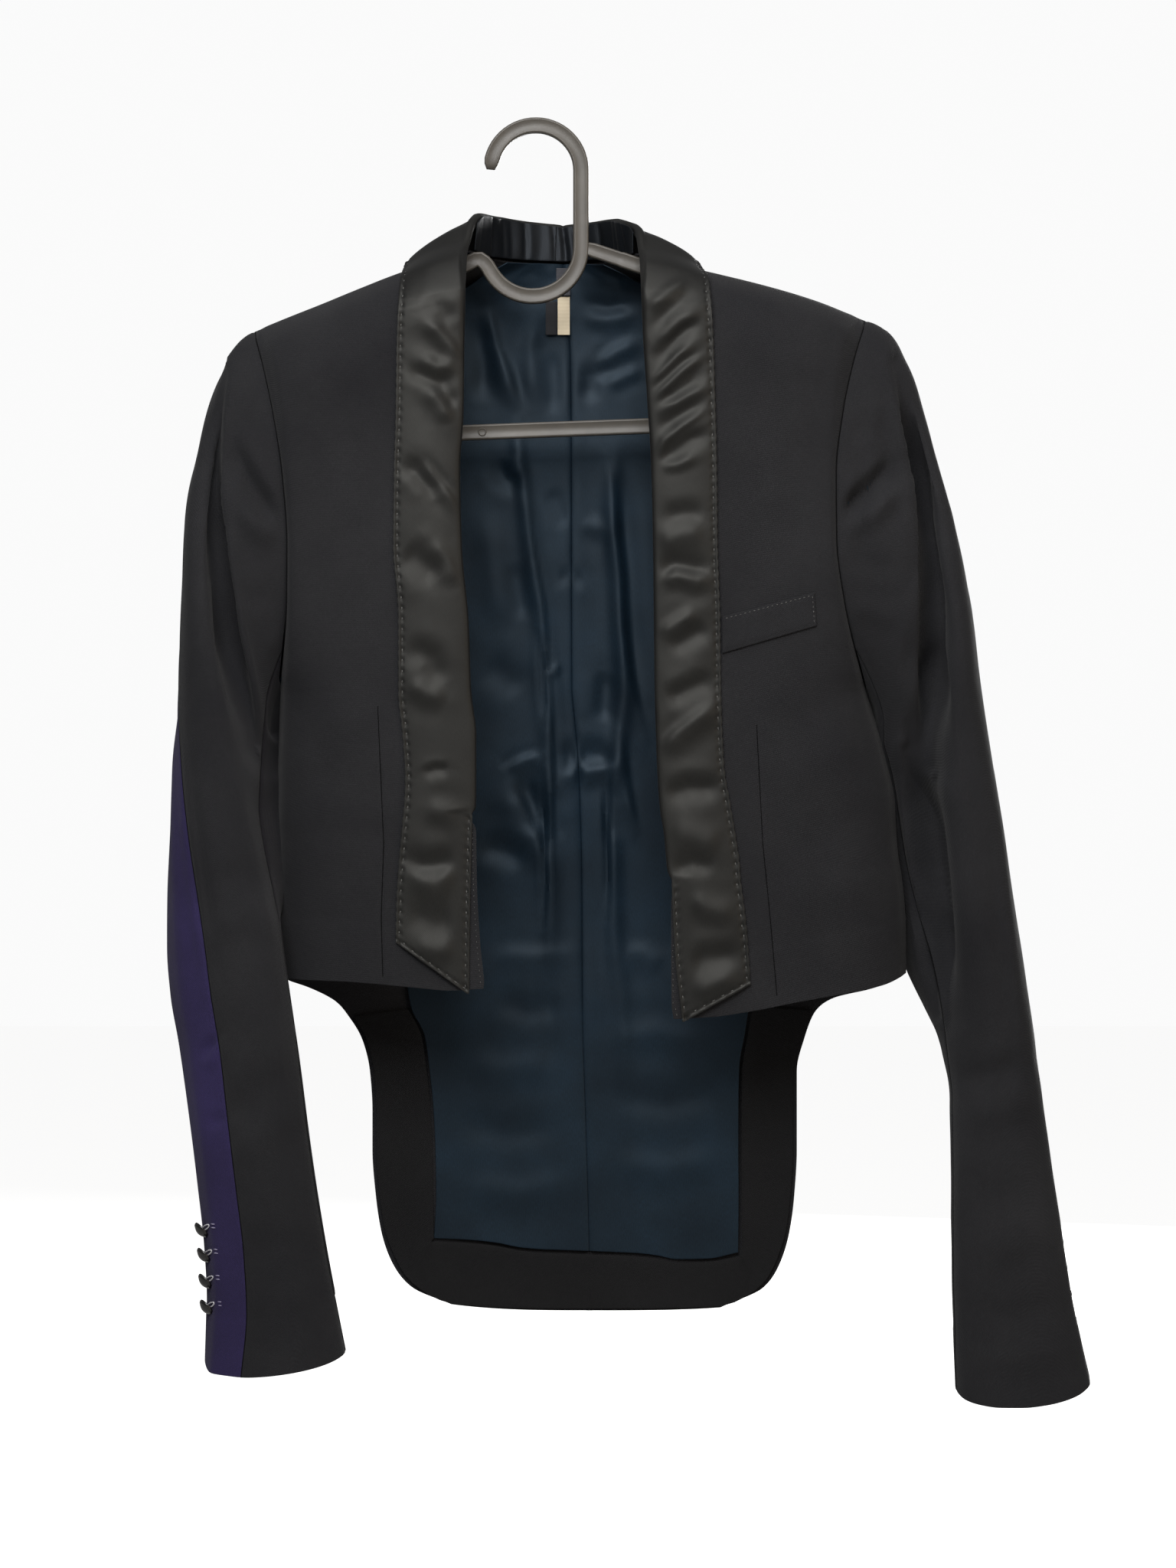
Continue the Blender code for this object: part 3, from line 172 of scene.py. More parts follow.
# The lower edge of each front.
FRONT_HEM = {
    "right": table("x z", (-30.5, -512), (-34, -514.5), (-52.5, -513), (-81.5, -510.5), (-110.5, -508),
                   (-145.5, -507), (-155, -506.5)),
    "left": table("x z", (82, -530), (108, -528.5), (127.5, -525.5), (163.5, -518.5), (190.5, -514),
                  (207, -510.5), (222.5, -504)),
}

# Lapel on each front: its roll and its outer edge. turned is 1 where it turns in round the
# front's edge, and near 0 where it lies sewn on the front.
LAPEL = {
    "right": table("z roll edge_z edge turned",
                   (-99, -41, -106, -81, 1), (-106, -41, -112, -81.3, 1), (-116, -41.2, -120, -81.6, 1),
                   (-130, -41.5, -132, -82, 1), (-171, -42, -171, -82.5, 1),
                   (-205, -44, -205, -83.5, 1), (-250, -43, -250, -84, 1), (-295, -39, -292, -81, 1),
                   (-335, -37.5, -335, -81, 1), (-362, -34.5, -362, -78.5, 1),
                   (-388, -34.5, -388, -77, 1), (-404, -34.7, -402, -77.5, 1),
                   (-410, -35, -408, -78, 0.08), (-427, -35.5, -424, -79.5, 0.08),
                   (-470, -36.5, -458, -82, 0.08), (-515, -37, -484.5, -82.5, 0.08)),
    "left": table("z roll edge_z edge turned",
                  (-99, 62.5, -102, 104, 1), (-106, 62.8, -109, 104.5, 1), (-114, 63.1, -117, 105, 1),
                  (-125, 63.5, -127, 105.5, 1), (-163, 66, -160, 106.5, 1),
                  (-205, 68.5, -200, 107.5, 1), (-249, 69.5, -249, 108, 1),
                  (-293, 70, -293, 109.5, 1), (-335, 70.5, -335, 110, 1), (-382, 72, -382, 112, 1),
                  (-405, 73.5, -400, 115, 1), (-421, 76, -421, 118.5, 1), (-442, 78, -438, 121, 1),
                  (-450, 78.7, -446, 121.5, 0.08), (-490, 80.5, -475, 125, 0.08),
                  (-531.5, 85, -509.5, 127.5, 0.08)),
}

# Collar from the lapel round to the centre back: its outer edge, the top of its roll and the lower
# seam of its stand. lie is 0 where the roll faces the opening, and 1 where it faces up.
COLLAR_COLUMNS = "edge_x edge_y edge_z roll_x roll_y roll_z seam_x seam_y seam_z lie"
COLLAR = {
    "right": table(COLLAR_COLUMNS,
                   (-80, -28, -89, -41, -27, -77, -38.5, -19, -80, 0.35),
                   (-78, 0, -78, -38, -2, -51.5, -36.6, -1, -70.3, 0.8),
                   (-73.5, 27, -82.5, -34, 12, -46.5, -33, 12, -71.5, 1),
                   (-59, 48, -92, -25, 34, -46, -24, 30, -71.5, 1),
                   (-28, 56, -101, -8, 46, -47.5, -7, 41, -72, 1),
                   (16, 58, -104, 16, 51, -49.5, 16, 45, -72.5, 1)),
    "left": table(COLLAR_COLUMNS,
                  (103, -30, -90, 62.3, -27, -80, 59.5, -19, -81, 0.35),
                  (97, 0, -77.5, 61.7, -2, -57, 58.2, -1, -72.3, 0.8),
                  (93.5, 28, -83.5, 54, 12, -51, 52.5, 12, -73, 1),
                  (83, 49, -92, 46, 34, -47.5, 45, 30, -72, 1),
                  (52, 56, -102, 31, 46, -48.5, 30, 41, -72, 1),
                  (16, 58, -104, 16, 51, -49.5, 16, 45, -72.5, 1)),
}

# Centre seam of the back, and the edge of the tail below the side seam.
CENTRE = table("z x", (-72, 16), (-146, 21), (-333, 21.5), (-372, 25), (-441, 27.5), (-534, 28),
               (-585, 29.5), (-674, 32), (-712, 32.5))
TAIL = {
    "right": table("x z centre", (-155, -507, -470), (-150, -510, -484), (-137.5, -515, -498),
                   (-122, -523.5, -512), (-114, -533, -525), (-106, -547, -542), (-101.5, -566, -563),
                   (-100, -590, -588), (-100, -614, -613), (-98, -641, -641), (-94.5, -664, -665),
                   (-87.5, -683.5, -686), (-76, -697.5, -700), (-52, -708, -712)),
    "left": table("x z centre", (222.5, -504, -470), (215, -511, -484), (203, -515.5, -498),
                  (180, -521.5, -512), (170, -529, -525), (163, -546, -542), (158.5, -566, -563),
                  (158.5, -590, -588), (158.5, -614, -613), (157, -641, -641), (154, -664, -665),
                  (148, -683.5, -686), (138.5, -697.5, -700), (112, -710, -712)),
}

# Outer edge of the lining, from the neck down to the tail, and its lower edge.
LINING_EDGE = {
    "right": table("z x", (-74, -22), (-84, -44), (-110, -72), (-200, -88), (-400, -86), (-500, -80),
                   (-524, -77.5), (-544, -68.5), (-569, -65), (-605, -62), (-668, -61)),
    "left": table("z x", (-74, 45), (-84, 68), (-110, 98), (-200, 114), (-400, 122), (-500, 132),
                  (-534, 128.5), (-565, 123.5), (-605, 123), (-674, 123.5)),
}
LINING_HEM = table("x z", (-61, -667.5), (-33, -669), (-4, -674), (32, -675.5), (65, -677),
                   (95, -681), (124, -676))
FACING_INSET = 1.5
BACKING_GAP = 0.6
BESIDE = 1.2

# Corners of the chest welt, and the labels as left, right, top, bottom and kind.
WELT = [(110.6, -292), (165.5, -277.5), (167, -297.5), (110.6, -314)]
LABELS = {
    "neck_label": (12, 20.5, -76.5, -93.5, "neck"),
    "size_tab": (12.8, 20.2, -94, -117.5, "label"),
    "care_tab": (5.5, 12.3, -97, -117.5, "tab"),
}

# Buttons on each cuff: the angle round the sleeve, and the heights.
BUTTONS = {
    "right": (0.93, (-656.5, -671.5, -687, -702.5)),
    "left": (1.22, (-668, -683.5, -699, -714.5)),
}

# Sleeve sections. in and out are the ends of each one, seen from the front. y is the depth of
# each end, front and back the reach before and behind them, dip how far the front hangs lower.
SLEEVE_COLUMNS = "in_x in_z in_y out_x out_z out_y bulge front back dip seam_f seam_b"
SLEEVE = {
    "right": table(SLEEVE_COLUMNS,
                   (-153.5, -334, 0, -169, -119, 0, 12.5, 38, 40, 0, 0.21, 1.4),
                   (-155, -339, -1, -178, -125.5, -2, 11, 38, 40, 0, 0.20, 1.38),
                   (-156.5, -345, -2, -189, -142, -4, 9, 38, 40, 0, 0.19, 1.34),
                   (-158, -352, -4, -198.5, -169, -6, 6, 38, 40, 0, 0.18, 1.28),
                   (-159, -360, -6, -204, -200, -8, 4, 38, 39, 0, 0.16, 1.20),
                   (-160, -369, -9, -208, -240, -9, 2, 37, 38, 0, 0.14, 1.12),
                   (-161, -379, -12, -211, -287, -10, 0, 37, 37, 0, 0.12, 1.04),
                   (-162, -391, -16, -213.5, -330, -11, 0, 36, 36, 0, 0.10, 0.94),
                   (-163, -405, -21, -217.5, -382, -12, 0, 34, 34, 0, 0.08, 0.76),
                   (-159.5, -432, -29, -220, -432, -13, 0, 31, 31, 0, 0.06, 0.66),
                   (-152, -464, -37, -220.5, -474, -14, 0, 27, 27, 1, 0.05, 0.61),
                   (-146, -502, -43, -219, -510, -16, 0, 25, 24, 2, 0.05, 0.59),
                   (-140, -543, -44, -213, -548, -18, 0, 23, 24, 2, 0.05, 0.59),
                   (-133.5, -598, -43, -205.5, -600, -20, 0, 22, 25, 2, 0.05, 0.60),
                   (-126, -648, -41, -200, -650, -22, 0, 22, 25, 3, 0.05, 0.60),
                   (-118, -692, -39, -196.5, -692, -23, 0, 22, 24, 5, 0.05, 0.61),
                   (-111.5, -724, -38, -197.5, -735, -24, 0, 22, 22, 11, 0.05, 0.65)),
    "left": table(SLEEVE_COLUMNS,
                  (198, -334, 0, 198, -112.5, 0, -19.5, 38, 40, 0, 0.21, 1.40),
                  (200, -339, 1, 208, -117.5, -1, -18, 38, 40, 0, 0.20, 1.40),
                  (202, -345, 3, 219.5, -131, -3, -15, 38, 40, 0, 0.19, 1.40),
                  (204.5, -352, 6, 231, -159, -5, -11, 38, 40, 0, 0.18, 1.40),
                  (207.5, -361, 10, 241, -199, -6, -7, 39, 39, 0, 0.17, 1.39),
                  (211, -372, 15, 251, -246, -7, -3, 41, 37, 0, 0.16, 1.38),
                  (215, -385, 19, 260, -295, -8, 0, 43, 34, 0, 0.17, 1.36),
                  (218, -401, 24, 268, -344, -8, 0, 45, 30, 0, 0.18, 1.34),
                  (220, -425, 28, 277, -402, -8, 0, 47, 26, 0, 0.20, 1.32),
                  (222, -455, 29, 286, -458, -8, 0, 47, 22, 0, 0.25, 1.30),
                  (226, -490, 26, 292.5, -500, -9, 0, 44, 20, 0, 0.30, 1.29),
                  (234, -524, 16, 297.5, -534, -10, 0, 38, 21, 1, 0.24, 1.28),
                  (245, -556, -1, 302, -570, -12, 0, 29, 25, 2, 0.10, 1.27),
                  (248.5, -590, -12, 307, -604, -14, 0, 24, 27, 2, 0.05, 1.27),
                  (248, -632, -18, 312, -640, -17, 0, 23, 27, 2, 0.05, 1.27),
                  (248, -676, -20, 318, -680, -19, 0, 22, 25, 3, 0.05, 1.27),
                  (249, -716, -21, 324.5, -716, -20, 0, 22, 24, 7, 0.05, 1.27),
                  (250, -749, -21, 330.5, -744, -21, 0, 22, 22, 14, 0.05, 1.27)),
}

# Large folds in the sleeves' front: depth is how far each goes in, and width its half width.
FOLDS = {
    "right": [
        (9.0, 6.0, [(-186, -185), (-187, -226), (-185.5, -262), (-181, -303), (-174, -340), (-166, -378)]),
        (-4.0, 7.0, [(-172, -400), (-160, -447), (-155, -500), (-150, -545)]),
    ],
    "left": [
        (13.0, 6.0, [(222.5, -165), (225, -199), (228.5, -235), (230, -271), (230.5, -307), (232, -344)]),
        (14.0, 8.0, [(231, -340), (233, -375), (233, -420), (234, -470), (236, -520)]),
        (4.0, 7.0, [(208, -200), (193, -220), (182, -232)]),
    ],
}

# Long tucks in the lining: the ridge of each, as x at some heights.
TUCKS = [
    table("z x", (-183, -11.5), (-238, -4), (-300, 4), (-333, 7.5), (-380, 8.5), (-471, 8.5)),
    table("z x", (-198, 47), (-227, 47.5), (-276, 52), (-333, 53), (-402, 47), (-472, 47)),
]
TUCK_HEIGHT = 2.2
TUCK_WIDTH = 5.0

UP = np.array([0.0, 0.0, 1.0])
FORWARD = np.array([0.0, -1.0, 0.0])


def unit(vectors):
    lengths = np.linalg.norm(vectors, axis=-1, keepdims=True)
    return vectors / np.maximum(lengths, 1e-9)


def stack(x, y, z):
    return np.stack(np.broadcast_arrays(x, y, z), axis=-1)


def smooth_step(value):
    value = np.clip(value, 0.0, 1.0)
    return value * value * (3 - 2 * value)


def ways_out(grid, toward, wrap=False):
    """The way out of the cloth at each point of a grid; toward is a rough direction for the whole."""
    if wrap:
        across = np.roll(grid, -1, axis=1) - np.roll(grid, 1, axis=1)
    else:
        across = np.gradient(grid, axis=1)
    along = np.gradient(grid, axis=0)
    out = unit(np.cross(along, across))
    signs = (out * toward).sum(axis=-1).sum()
    return out if signs > 0 else -out


def blend_seam(mine, other):
    """A way out that both sides of a seam share where their cloth runs on, and not where it folds back."""
    shared = smooth_step(((mine * other).sum(axis=-1, keepdims=True) + 0.3) / 0.6)
    return unit(mine + shared * other)


# The back's second and third rows are raised, where the cloth bends most.
HOLE_NUDGE = (0.01 * math.pi, 0.035 * math.pi)


def hole_angles(side, face):
    """Angles round an armhole from the shoulder down, shared by the body and the sleeve."""
    seam_f = SLEEVE[side]["seam_f"][0] * math.pi
    seam_b = (2 - SLEEVE[side]["seam_b"][0]) * math.pi
    seam, above, below = (seam_f, 7, 2) if face == "front" else (seam_b, 4, 5)
    upper = np.linspace(math.pi, seam, above + 1)
    if face == "back":
        upper[1:3] += HOLE_NUDGE
    return np.concatenate([upper, np.linspace(seam, 0, below + 1)[1:]])


def armhole(side, angle, face):
    """Points of an armhole. The angle runs from 0 under the arm to pi at the shoulder."""
    size = ARMHOLE[side]
    part = (1 - np.cos(angle)) / 2
    x = size["under"][0] + part * (size["top"][0] - size["under"][0])
    inward = 1 if side == "right" else -1
    x = x + inward * abs(size["bulge"]) * 4 * part * (1 - part)
    z = size["under"][1] + part * (size["top"][1] - size["under"][1])
    depth = size[face] * np.sin(angle) ** 0.8
    return x, -depth if face == "front" else depth, z


def side_line(side, z, face):
    """Where the body ends at a height: the armhole, or the side seam below it."""
    size = ARMHOLE[side]
    top, under = size["top"][1], size["under"][1]
    part = np.clip((z - under) / (top - under), 0, 1)
    angle = np.arccos(1 - 2 * part)
    hole_x, hole_y, _ = armhole(side, angle, face)
    seam_x = column(SIDE[side], "z", "x", z)
    return np.where(z > under, hole_x, seam_x), np.where(z > under, hole_y, 0.0)


def body_depth(side, x, z, face, inner_x):
    """The depth of the body's cloth at a place seen from the front."""
    end_x, end_y = side_line(side, z, face)
    middle = inner_x + 0.25 * (end_x - inner_x)
    reach = np.clip((x - middle) / (end_x - middle), 0, 1)
    flat = (1 - reach**SIDE_POWER) ** (1 / SIDE_ROOT)
    chest = CHEST_FRONT if face == "front" else CHEST_BACK
    return end_y + (chest - end_y) * flat


def over_shoulder(depth, top_depth, drop):
    """Closes the cloth over the shoulder, from its depth to that of its top line."""
    part = np.clip(drop / SHOULDER_ROUND, 0, 1)
    return top_depth + (depth - top_depth) * np.sqrt(1 - (1 - part) ** 2)


# Places of the columns across the front, and the rows beside the armhole.
FRONT_SPREAD = np.array([0, 0.16, 0.34, 0.52, 0.68, 0.81, 0.9, 0.96, 1.0])
ARM_ROWS = 9


def front_point_depth(side, x, z):
    edge = column(FRONT_EDGE[side], "z", "x", z)
    depth = body_depth(side, x, z, "front", edge)
    line = column(SHOULDER[side], "x", "z", x)
    return over_shoulder(depth, 0.0, line - z)


def front_grid(side):
    """The front, in rows from the shoulder down and columns from the open edge to the side."""
    hem_edge = FRONT_HEM[side]["z"][0]
    under = ARMHOLE[side]["under"][1]
    side_hem = SIDE[side]["z"].min()
    neck = SHOULDER[side]["z"][0]
    rows = []
    for angle in hole_angles(side, "front"):
        part = (1 - math.cos(angle)) / 2
        rows.append((neck + (under - neck) * (1 - part), armhole(side, angle, "front")[2]))
    for edge_z, part in zip(FRONT_ROWS[side]["edge_z"], FRONT_ROWS[side]["part"]):
        rows.append((edge_z, under + part * (side_hem - under)))
    rows.append((hem_edge, side_hem))
    grid = np.zeros((len(rows), len(FRONT_SPREAD), 3))
    for r, (edge_z, end_z) in enumerate(rows):
        z = edge_z + (end_z - edge_z) * FRONT_SPREAD
        edge_x = column(FRONT_EDGE[side], "z", "x", edge_z)
        end_x = side_line(side, np.array(end_z), "front")[0]
        x = edge_x + (end_x - edge_x) * FRONT_SPREAD
        bent = column(SHOULDER[side], "x", "z", x) - z
        z = z + bent * max(0.0, 1 - r / 4) if r < 4 else z
        hem_bend = column(FRONT_HEM[side], "x", "z", x) - z
        z = z + hem_bend * (1.0 if r == len(rows) - 1 else 0.4 if r == len(rows) - 2 else 0.0)
        depth = front_point_depth(side, x, z)
        if r == 0:
            depth = np.zeros_like(x)
        grid[r] = stack(x, depth, z)
    grid[: ARM_ROWS + 1, -1] = stack(*armhole(side, hole_angles(side, "front"), "front"))
    return grid


# Places of the columns across the back, the column where the neck ends, and the neck seam's drop there.
BACK_SPREAD = np.array([0, 0.1, 0.2, 0.3, 0.45, 0.6, 0.74, 0.86, 0.94, 1.0])
NECK_COLUMN = 3
NECK_DROP = 1.5


def back_top(side):
    """The back's top line: the neck seam from the centre, then the shoulder seam."""
    neck = COLLAR[side]
    shoulder = SHOULDER[side]
    count = NECK_COLUMN + 1
    across = np.linspace(0, 1, count) * math.pi / 2
    x = neck["seam_x"][-1] + (shoulder["x"][0] - neck["seam_x"][-1]) * np.sin(across)
    y = (CHEST_BACK + 1.5) * np.cos(across)
    drop = neck["seam_z"][-1] - NECK_DROP
    z = drop + (shoulder["z"][0] - drop) * np.sin(across) ** 2
    part = (BACK_SPREAD[NECK_COLUMN + 1:] - BACK_SPREAD[NECK_COLUMN]) / (1 - BACK_SPREAD[NECK_COLUMN])
    run = shoulder["x"][0] + (shoulder["x"][-1] - shoulder["x"][0]) * part
    line = column(shoulder, "x", "z", run)
    return stack(np.append(x, run), np.append(y, 0 * run), np.append(z, line))


def back_depth(side, x, z):
    centre = column(CENTRE, "z", "x", z)
    depth = body_depth(side, x, np.maximum(z, -506.0), "back", centre)
    tail = smooth_step((-470 - z) / 60)
    flat = TAIL_BACK - 5 * ((x - centre) / 130) ** 2
    return depth + (flat - depth) * tail


def back_grid(side):
    """The back with its tail, in rows from the neck down and columns from the centre to the side."""
    under = ARMHOLE[side]["under"][1]
    tail = TAIL[side]
    top = back_top(side)
    rows = []
    for angle in hole_angles(side, "back"):
        part = (1 - math.cos(angle)) / 2
        x, y, z = armhole(side, angle, "back")
        rows.append((-78 + (under + 78) * (1 - part), x, y, z))
    for part in (0.27, 0.54, 0.8):
        z = under + part * (tail["z"][0] - under)
        rows.append((under + part * (-470 - under), float(column(SIDE[side], "z", "x", z)), 0.0, z))
    for x, z, centre in zip(tail["x"], tail["z"], tail["centre"]):
        rows.append((centre, x, None, z))
    grid = np.zeros((len(rows), len(BACK_SPREAD), 3))
    for r, (centre_z, end_x, end_y, end_z) in enumerate(rows):
        z = centre_z + (end_z - centre_z) * BACK_SPREAD
        if r > ARM_ROWS + 3:
            sweep = (end_z - centre_z) * (BACK_SPREAD**3 - BACK_SPREAD)
            z = z + sweep
        centre_x = column(CENTRE, "z", "x", centre_z)
        x = centre_x + (end_x - centre_x) * BACK_SPREAD
        fade = max(0.0, 1 - r / 5)
        z = z + (top[:, 2] - (top[0, 2] + (top[-1, 2] - top[0, 2]) * BACK_SPREAD)) * fade
        x = x + (top[:, 0] - x) * max(0.0, 1 - r / 3)
        depth = back_depth(side, x, z)
        depth = over_shoulder(depth, top[:, 1], top[:, 2] - z)
        grid[r] = stack(x, depth, z)
        if end_y is not None:
            grid[r, -1] = (end_x, end_y, end_z)
    grid[0] = top
    return grid


def fold_push(side, x, z):
    """How far the large folds push the sleeve's front in at a place seen from the front."""
    return sum(depth * np.exp(-((near_path(x, z, path)[0] / width) ** 2))
               for depth, width, path in FOLDS[side])


# Points across the topsleeve's half of each loop, and loops down the sleeve.
TOP_COLUMNS = 11
SLEEVE_ROWS = 21


def sleeve_loops(side):
    """The sleeve as closed loops, from the armhole to the cuff, and the columns of its two seams."""
    rows = SLEEVE[side]
    stations = np.arange(len(rows["in_x"]), dtype=float)
    at = np.linspace(0, stations[-1], SLEEVE_ROWS)
    now = {name: follow(stations, values, at) for name, values in rows.items()}
    seam_f = now["seam_f"][:, None] * math.pi
    seam_b = now["seam_b"][:, None] * math.pi
    front = hole_angles(side, "front")
    back = 2 * math.pi - hole_angles(side, "back")
    first_over = np.concatenate([front[7::-1], back[1:5]])
    first_under = np.concatenate([back[4:], 2 * math.pi + front[-2:6:-1]])
    ease = smooth_step((at[:, None] - 0.5) / 4)
    over = (first_over - first_over[0]) / (first_over[-1] - first_over[0])
    under = (first_under - first_under[0]) / (first_under[-1] - first_under[0])
    over = over + ease * (np.linspace(0, 1, len(over)) - over)
    under = (under + ease * (np.linspace(0, 1, len(under)) - under))[:, 1:-1]
    angle = np.concatenate([seam_f + over * (seam_b - seam_f),
                            seam_b + under * (seam_f + 2 * math.pi - seam_b)], axis=1)
    angle = np.mod(angle, 2 * math.pi)
    part = (1 - np.cos(angle)) / 2
    get = {name: values[:, None] for name, values in now.items()}
    x = get["in_x"] + part * (get["out_x"] - get["in_x"]) + get["bulge"] * 4 * part * (1 - part)
    z = get["in_z"] + part * (get["out_z"] - get["in_z"])
    middle = get["in_y"] + part * (get["out_y"] - get["in_y"])
    turn = np.sin(angle)
    round_out = np.abs(turn) ** 0.8
    front = turn > 0
    y = middle + np.where(front, -get["front"], get["back"]) * round_out
    settle = smooth_step((at[:, None] - 0.5) / 2)
    y = y + np.where(front, 1.0, 0.0) * round_out * settle * fold_push(side, x, z)
    z = z - get["dip"] * np.where(front, round_out, -0.4 * round_out)
    return stack(x, y, z), angle


def sleeve_out(loops):
    centre = loops.mean(axis=1, keepdims=True)
    return ways_out(loops, unit(loops - centre), wrap=True)


def steepness(depth, x, z):
    """How much longer a step along the depth is than one along the cloth's way out."""
    step = 0.5
    across = (depth(x + step, z) - depth(x - step, z)) / (2 * step)
    along = (depth(x, z + step) - depth(x, z - step)) / (2 * step)
    return np.minimum(np.sqrt(1 + across**2 + along**2), 3.0)


def read_grid(grid, rows, parts):
    """Points of the back's grid at any row and at any part of the way across."""
    rows, parts = np.broadcast_arrays(np.asarray(rows, float), np.asarray(parts, float))
    r = np.clip(rows.astype(int), 0, len(grid) - 2)
    c = np.clip(np.searchsorted(BACK_SPREAD, parts, side="right") - 1, 0, len(BACK_SPREAD) - 2)
    v = (rows - r)[..., None]
    u = ((parts - BACK_SPREAD[c]) / (BACK_SPREAD[c + 1] - BACK_SPREAD[c]))[..., None]
    upper = (1 - u) * grid[r, c] + u * grid[r, c + 1]
    lower = (1 - u) * grid[r + 1, c] + u * grid[r + 1, c + 1]
    return (1 - v) * upper + v * lower


def row_at_height(grid, part, height):
    """The row of the back's grid that reaches a height, at some part of the way across."""
    rows = np.arange(len(grid), dtype=float)
    return np.interp(-height, -read_grid(grid, rows, part)[:, 2], rows)


def part_at_edge(grid, side, row):
    """How far across the back the lining ends, on a row of its grid."""
    part = 0.5
    limit = 0.25 + 0.075 * row
    for _ in range(6):
        x, _, z = read_grid(grid, row, part)
        start, end = read_grid(grid, row, 0.0)[0], read_grid(grid, row, 1.0)[0]
        part += (column(LINING_EDGE[side], "z", "x", z) - x) / (end - start)
        part = float(np.clip(part, 0.05, 0.97))
    return min(part, limit)


def on_front(side, x, z, by):
    """Points that lie on the front, a distance out from its face."""
    def depth(across, along):
        return front_point_depth(side, across, along)

    return stack(x, depth(x, z) - by * steepness(depth, x, z), z)


# The shawl's section: columns on its flat, angles round its roll, the length turned back behind it, how
# far the flat swells at the neck, and how far the collar keeps off the front.
FLAT_COLUMNS = 5
ROLL_ANGLES = np.array([0.3, 0.6, 0.85, 1.0]) * math.pi
RETURN = 3.0
PUFF = 2.5
COLLAR_CLEAR = 1.2
COLLAR_STATIONS = 12
TOP_LIFT = 0.7


def top_lift(z):
    """How much further the lapel stands off the front near its top, where the cloth bends most."""
    return TOP_LIFT * smooth_step((z + 130) / 20)


def roll_frames(side):
    """The shawl from the centre back, by station: outer edge, centre of its roll, ways and turn."""
    toward = -1.0 if side == "right" else 1.0
    collar, lapel = COLLAR[side], LAPEL[side]
    stations = np.arange(len(collar["lie"]), dtype=float)
    at = np.linspace(stations[-1], 0, COLLAR_STATIONS)
    now = {name: follow(stations, values, at) for name, values in collar.items()}
    edge = stack(now["edge_x"], now["edge_y"], now["edge_z"])
    roll = stack(now["roll_x"], now["roll_y"], now["roll_z"])
    run = np.gradient(roll, axis=0)
    run[0] = (toward, 0.0, 0.0)
    level = unit(np.cross(run, UP))
    away = unit(edge - roll)
    level = np.where(((level * away).sum(axis=1) < 0)[:, None], -level, level)
    lie = now["lie"][:, None]
    across = np.array([-toward, 0.0, 0.0])
    out = unit(lie * unit(level * [1, 1, 0]) + (1 - lie) * FORWARD)
    tip = unit(lie * UP + (1 - lie) * across)
    centre = roll - ROLL_RADIUS * tip
    lapel_edge = on_front(side, lapel["edge"], lapel["edge_z"], LAID + SATIN + top_lift(lapel["z"]))
    middle = on_front(side, lapel["roll"] + toward * ROLL_RADIUS, lapel["z"], -WOOL / 2)
    ones = np.ones_like(lapel["z"])[:, None]
    return (np.concatenate([edge, lapel_edge]), np.concatenate([centre, middle]),
            np.concatenate([out, ones * FORWARD]), np.concatenate([tip, ones * across]),
            np.concatenate([np.ones(len(centre)), lapel["turned"]]), len(centre))


def shawl_grid(side):
    edge, centre, out, tip, turned, collar_rows = roll_frames(side)
    grid = np.zeros((len(edge), FLAT_COLUMNS + len(ROLL_ANGLES) + 1, 3))
    arrive = centre + ROLL_RADIUS * out
    for c in range(FLAT_COLUMNS):
        part = c / (FLAT_COLUMNS - 1)
        grid[:, c] = edge + part * (arrive - edge)
        swell = PUFF * 4 * part * (1 - part)
        grid[:collar_rows, c] += swell * unit(out[:collar_rows] + tip[:collar_rows])
        near = grid[:collar_rows, c]
        rise = LAID + SATIN + 0.6 * swell
        clear = on_front(side, near[:, 0], near[:, 2], rise + COLLAR_CLEAR)[:, 1]
        near[:, 1] = np.where(edge[:collar_rows, 1] < -1, np.minimum(near[:, 1], clear), near[:, 1])
        lying = grid[collar_rows:, c]
        rise = rise + top_lift(lying[:, 2])
        grid[collar_rows:, c] = on_front(side, lying[:, 0], lying[:, 2], rise)
    for c, angle in enumerate(ROLL_ANGLES):
        turn = (angle * turned)[:, None]
        grid[:, FLAT_COLUMNS + c] = centre + ROLL_RADIUS * (out * np.cos(turn) + tip * np.sin(turn))
    last = grid[:, -2]
    turn = (ROLL_ANGLES[-1] * turned)[:, None]
    onward = -out * np.sin(turn) + tip * np.cos(turn)
    grid[:, -1] = last + onward * (RETURN * turned)[:, None]
    return grid


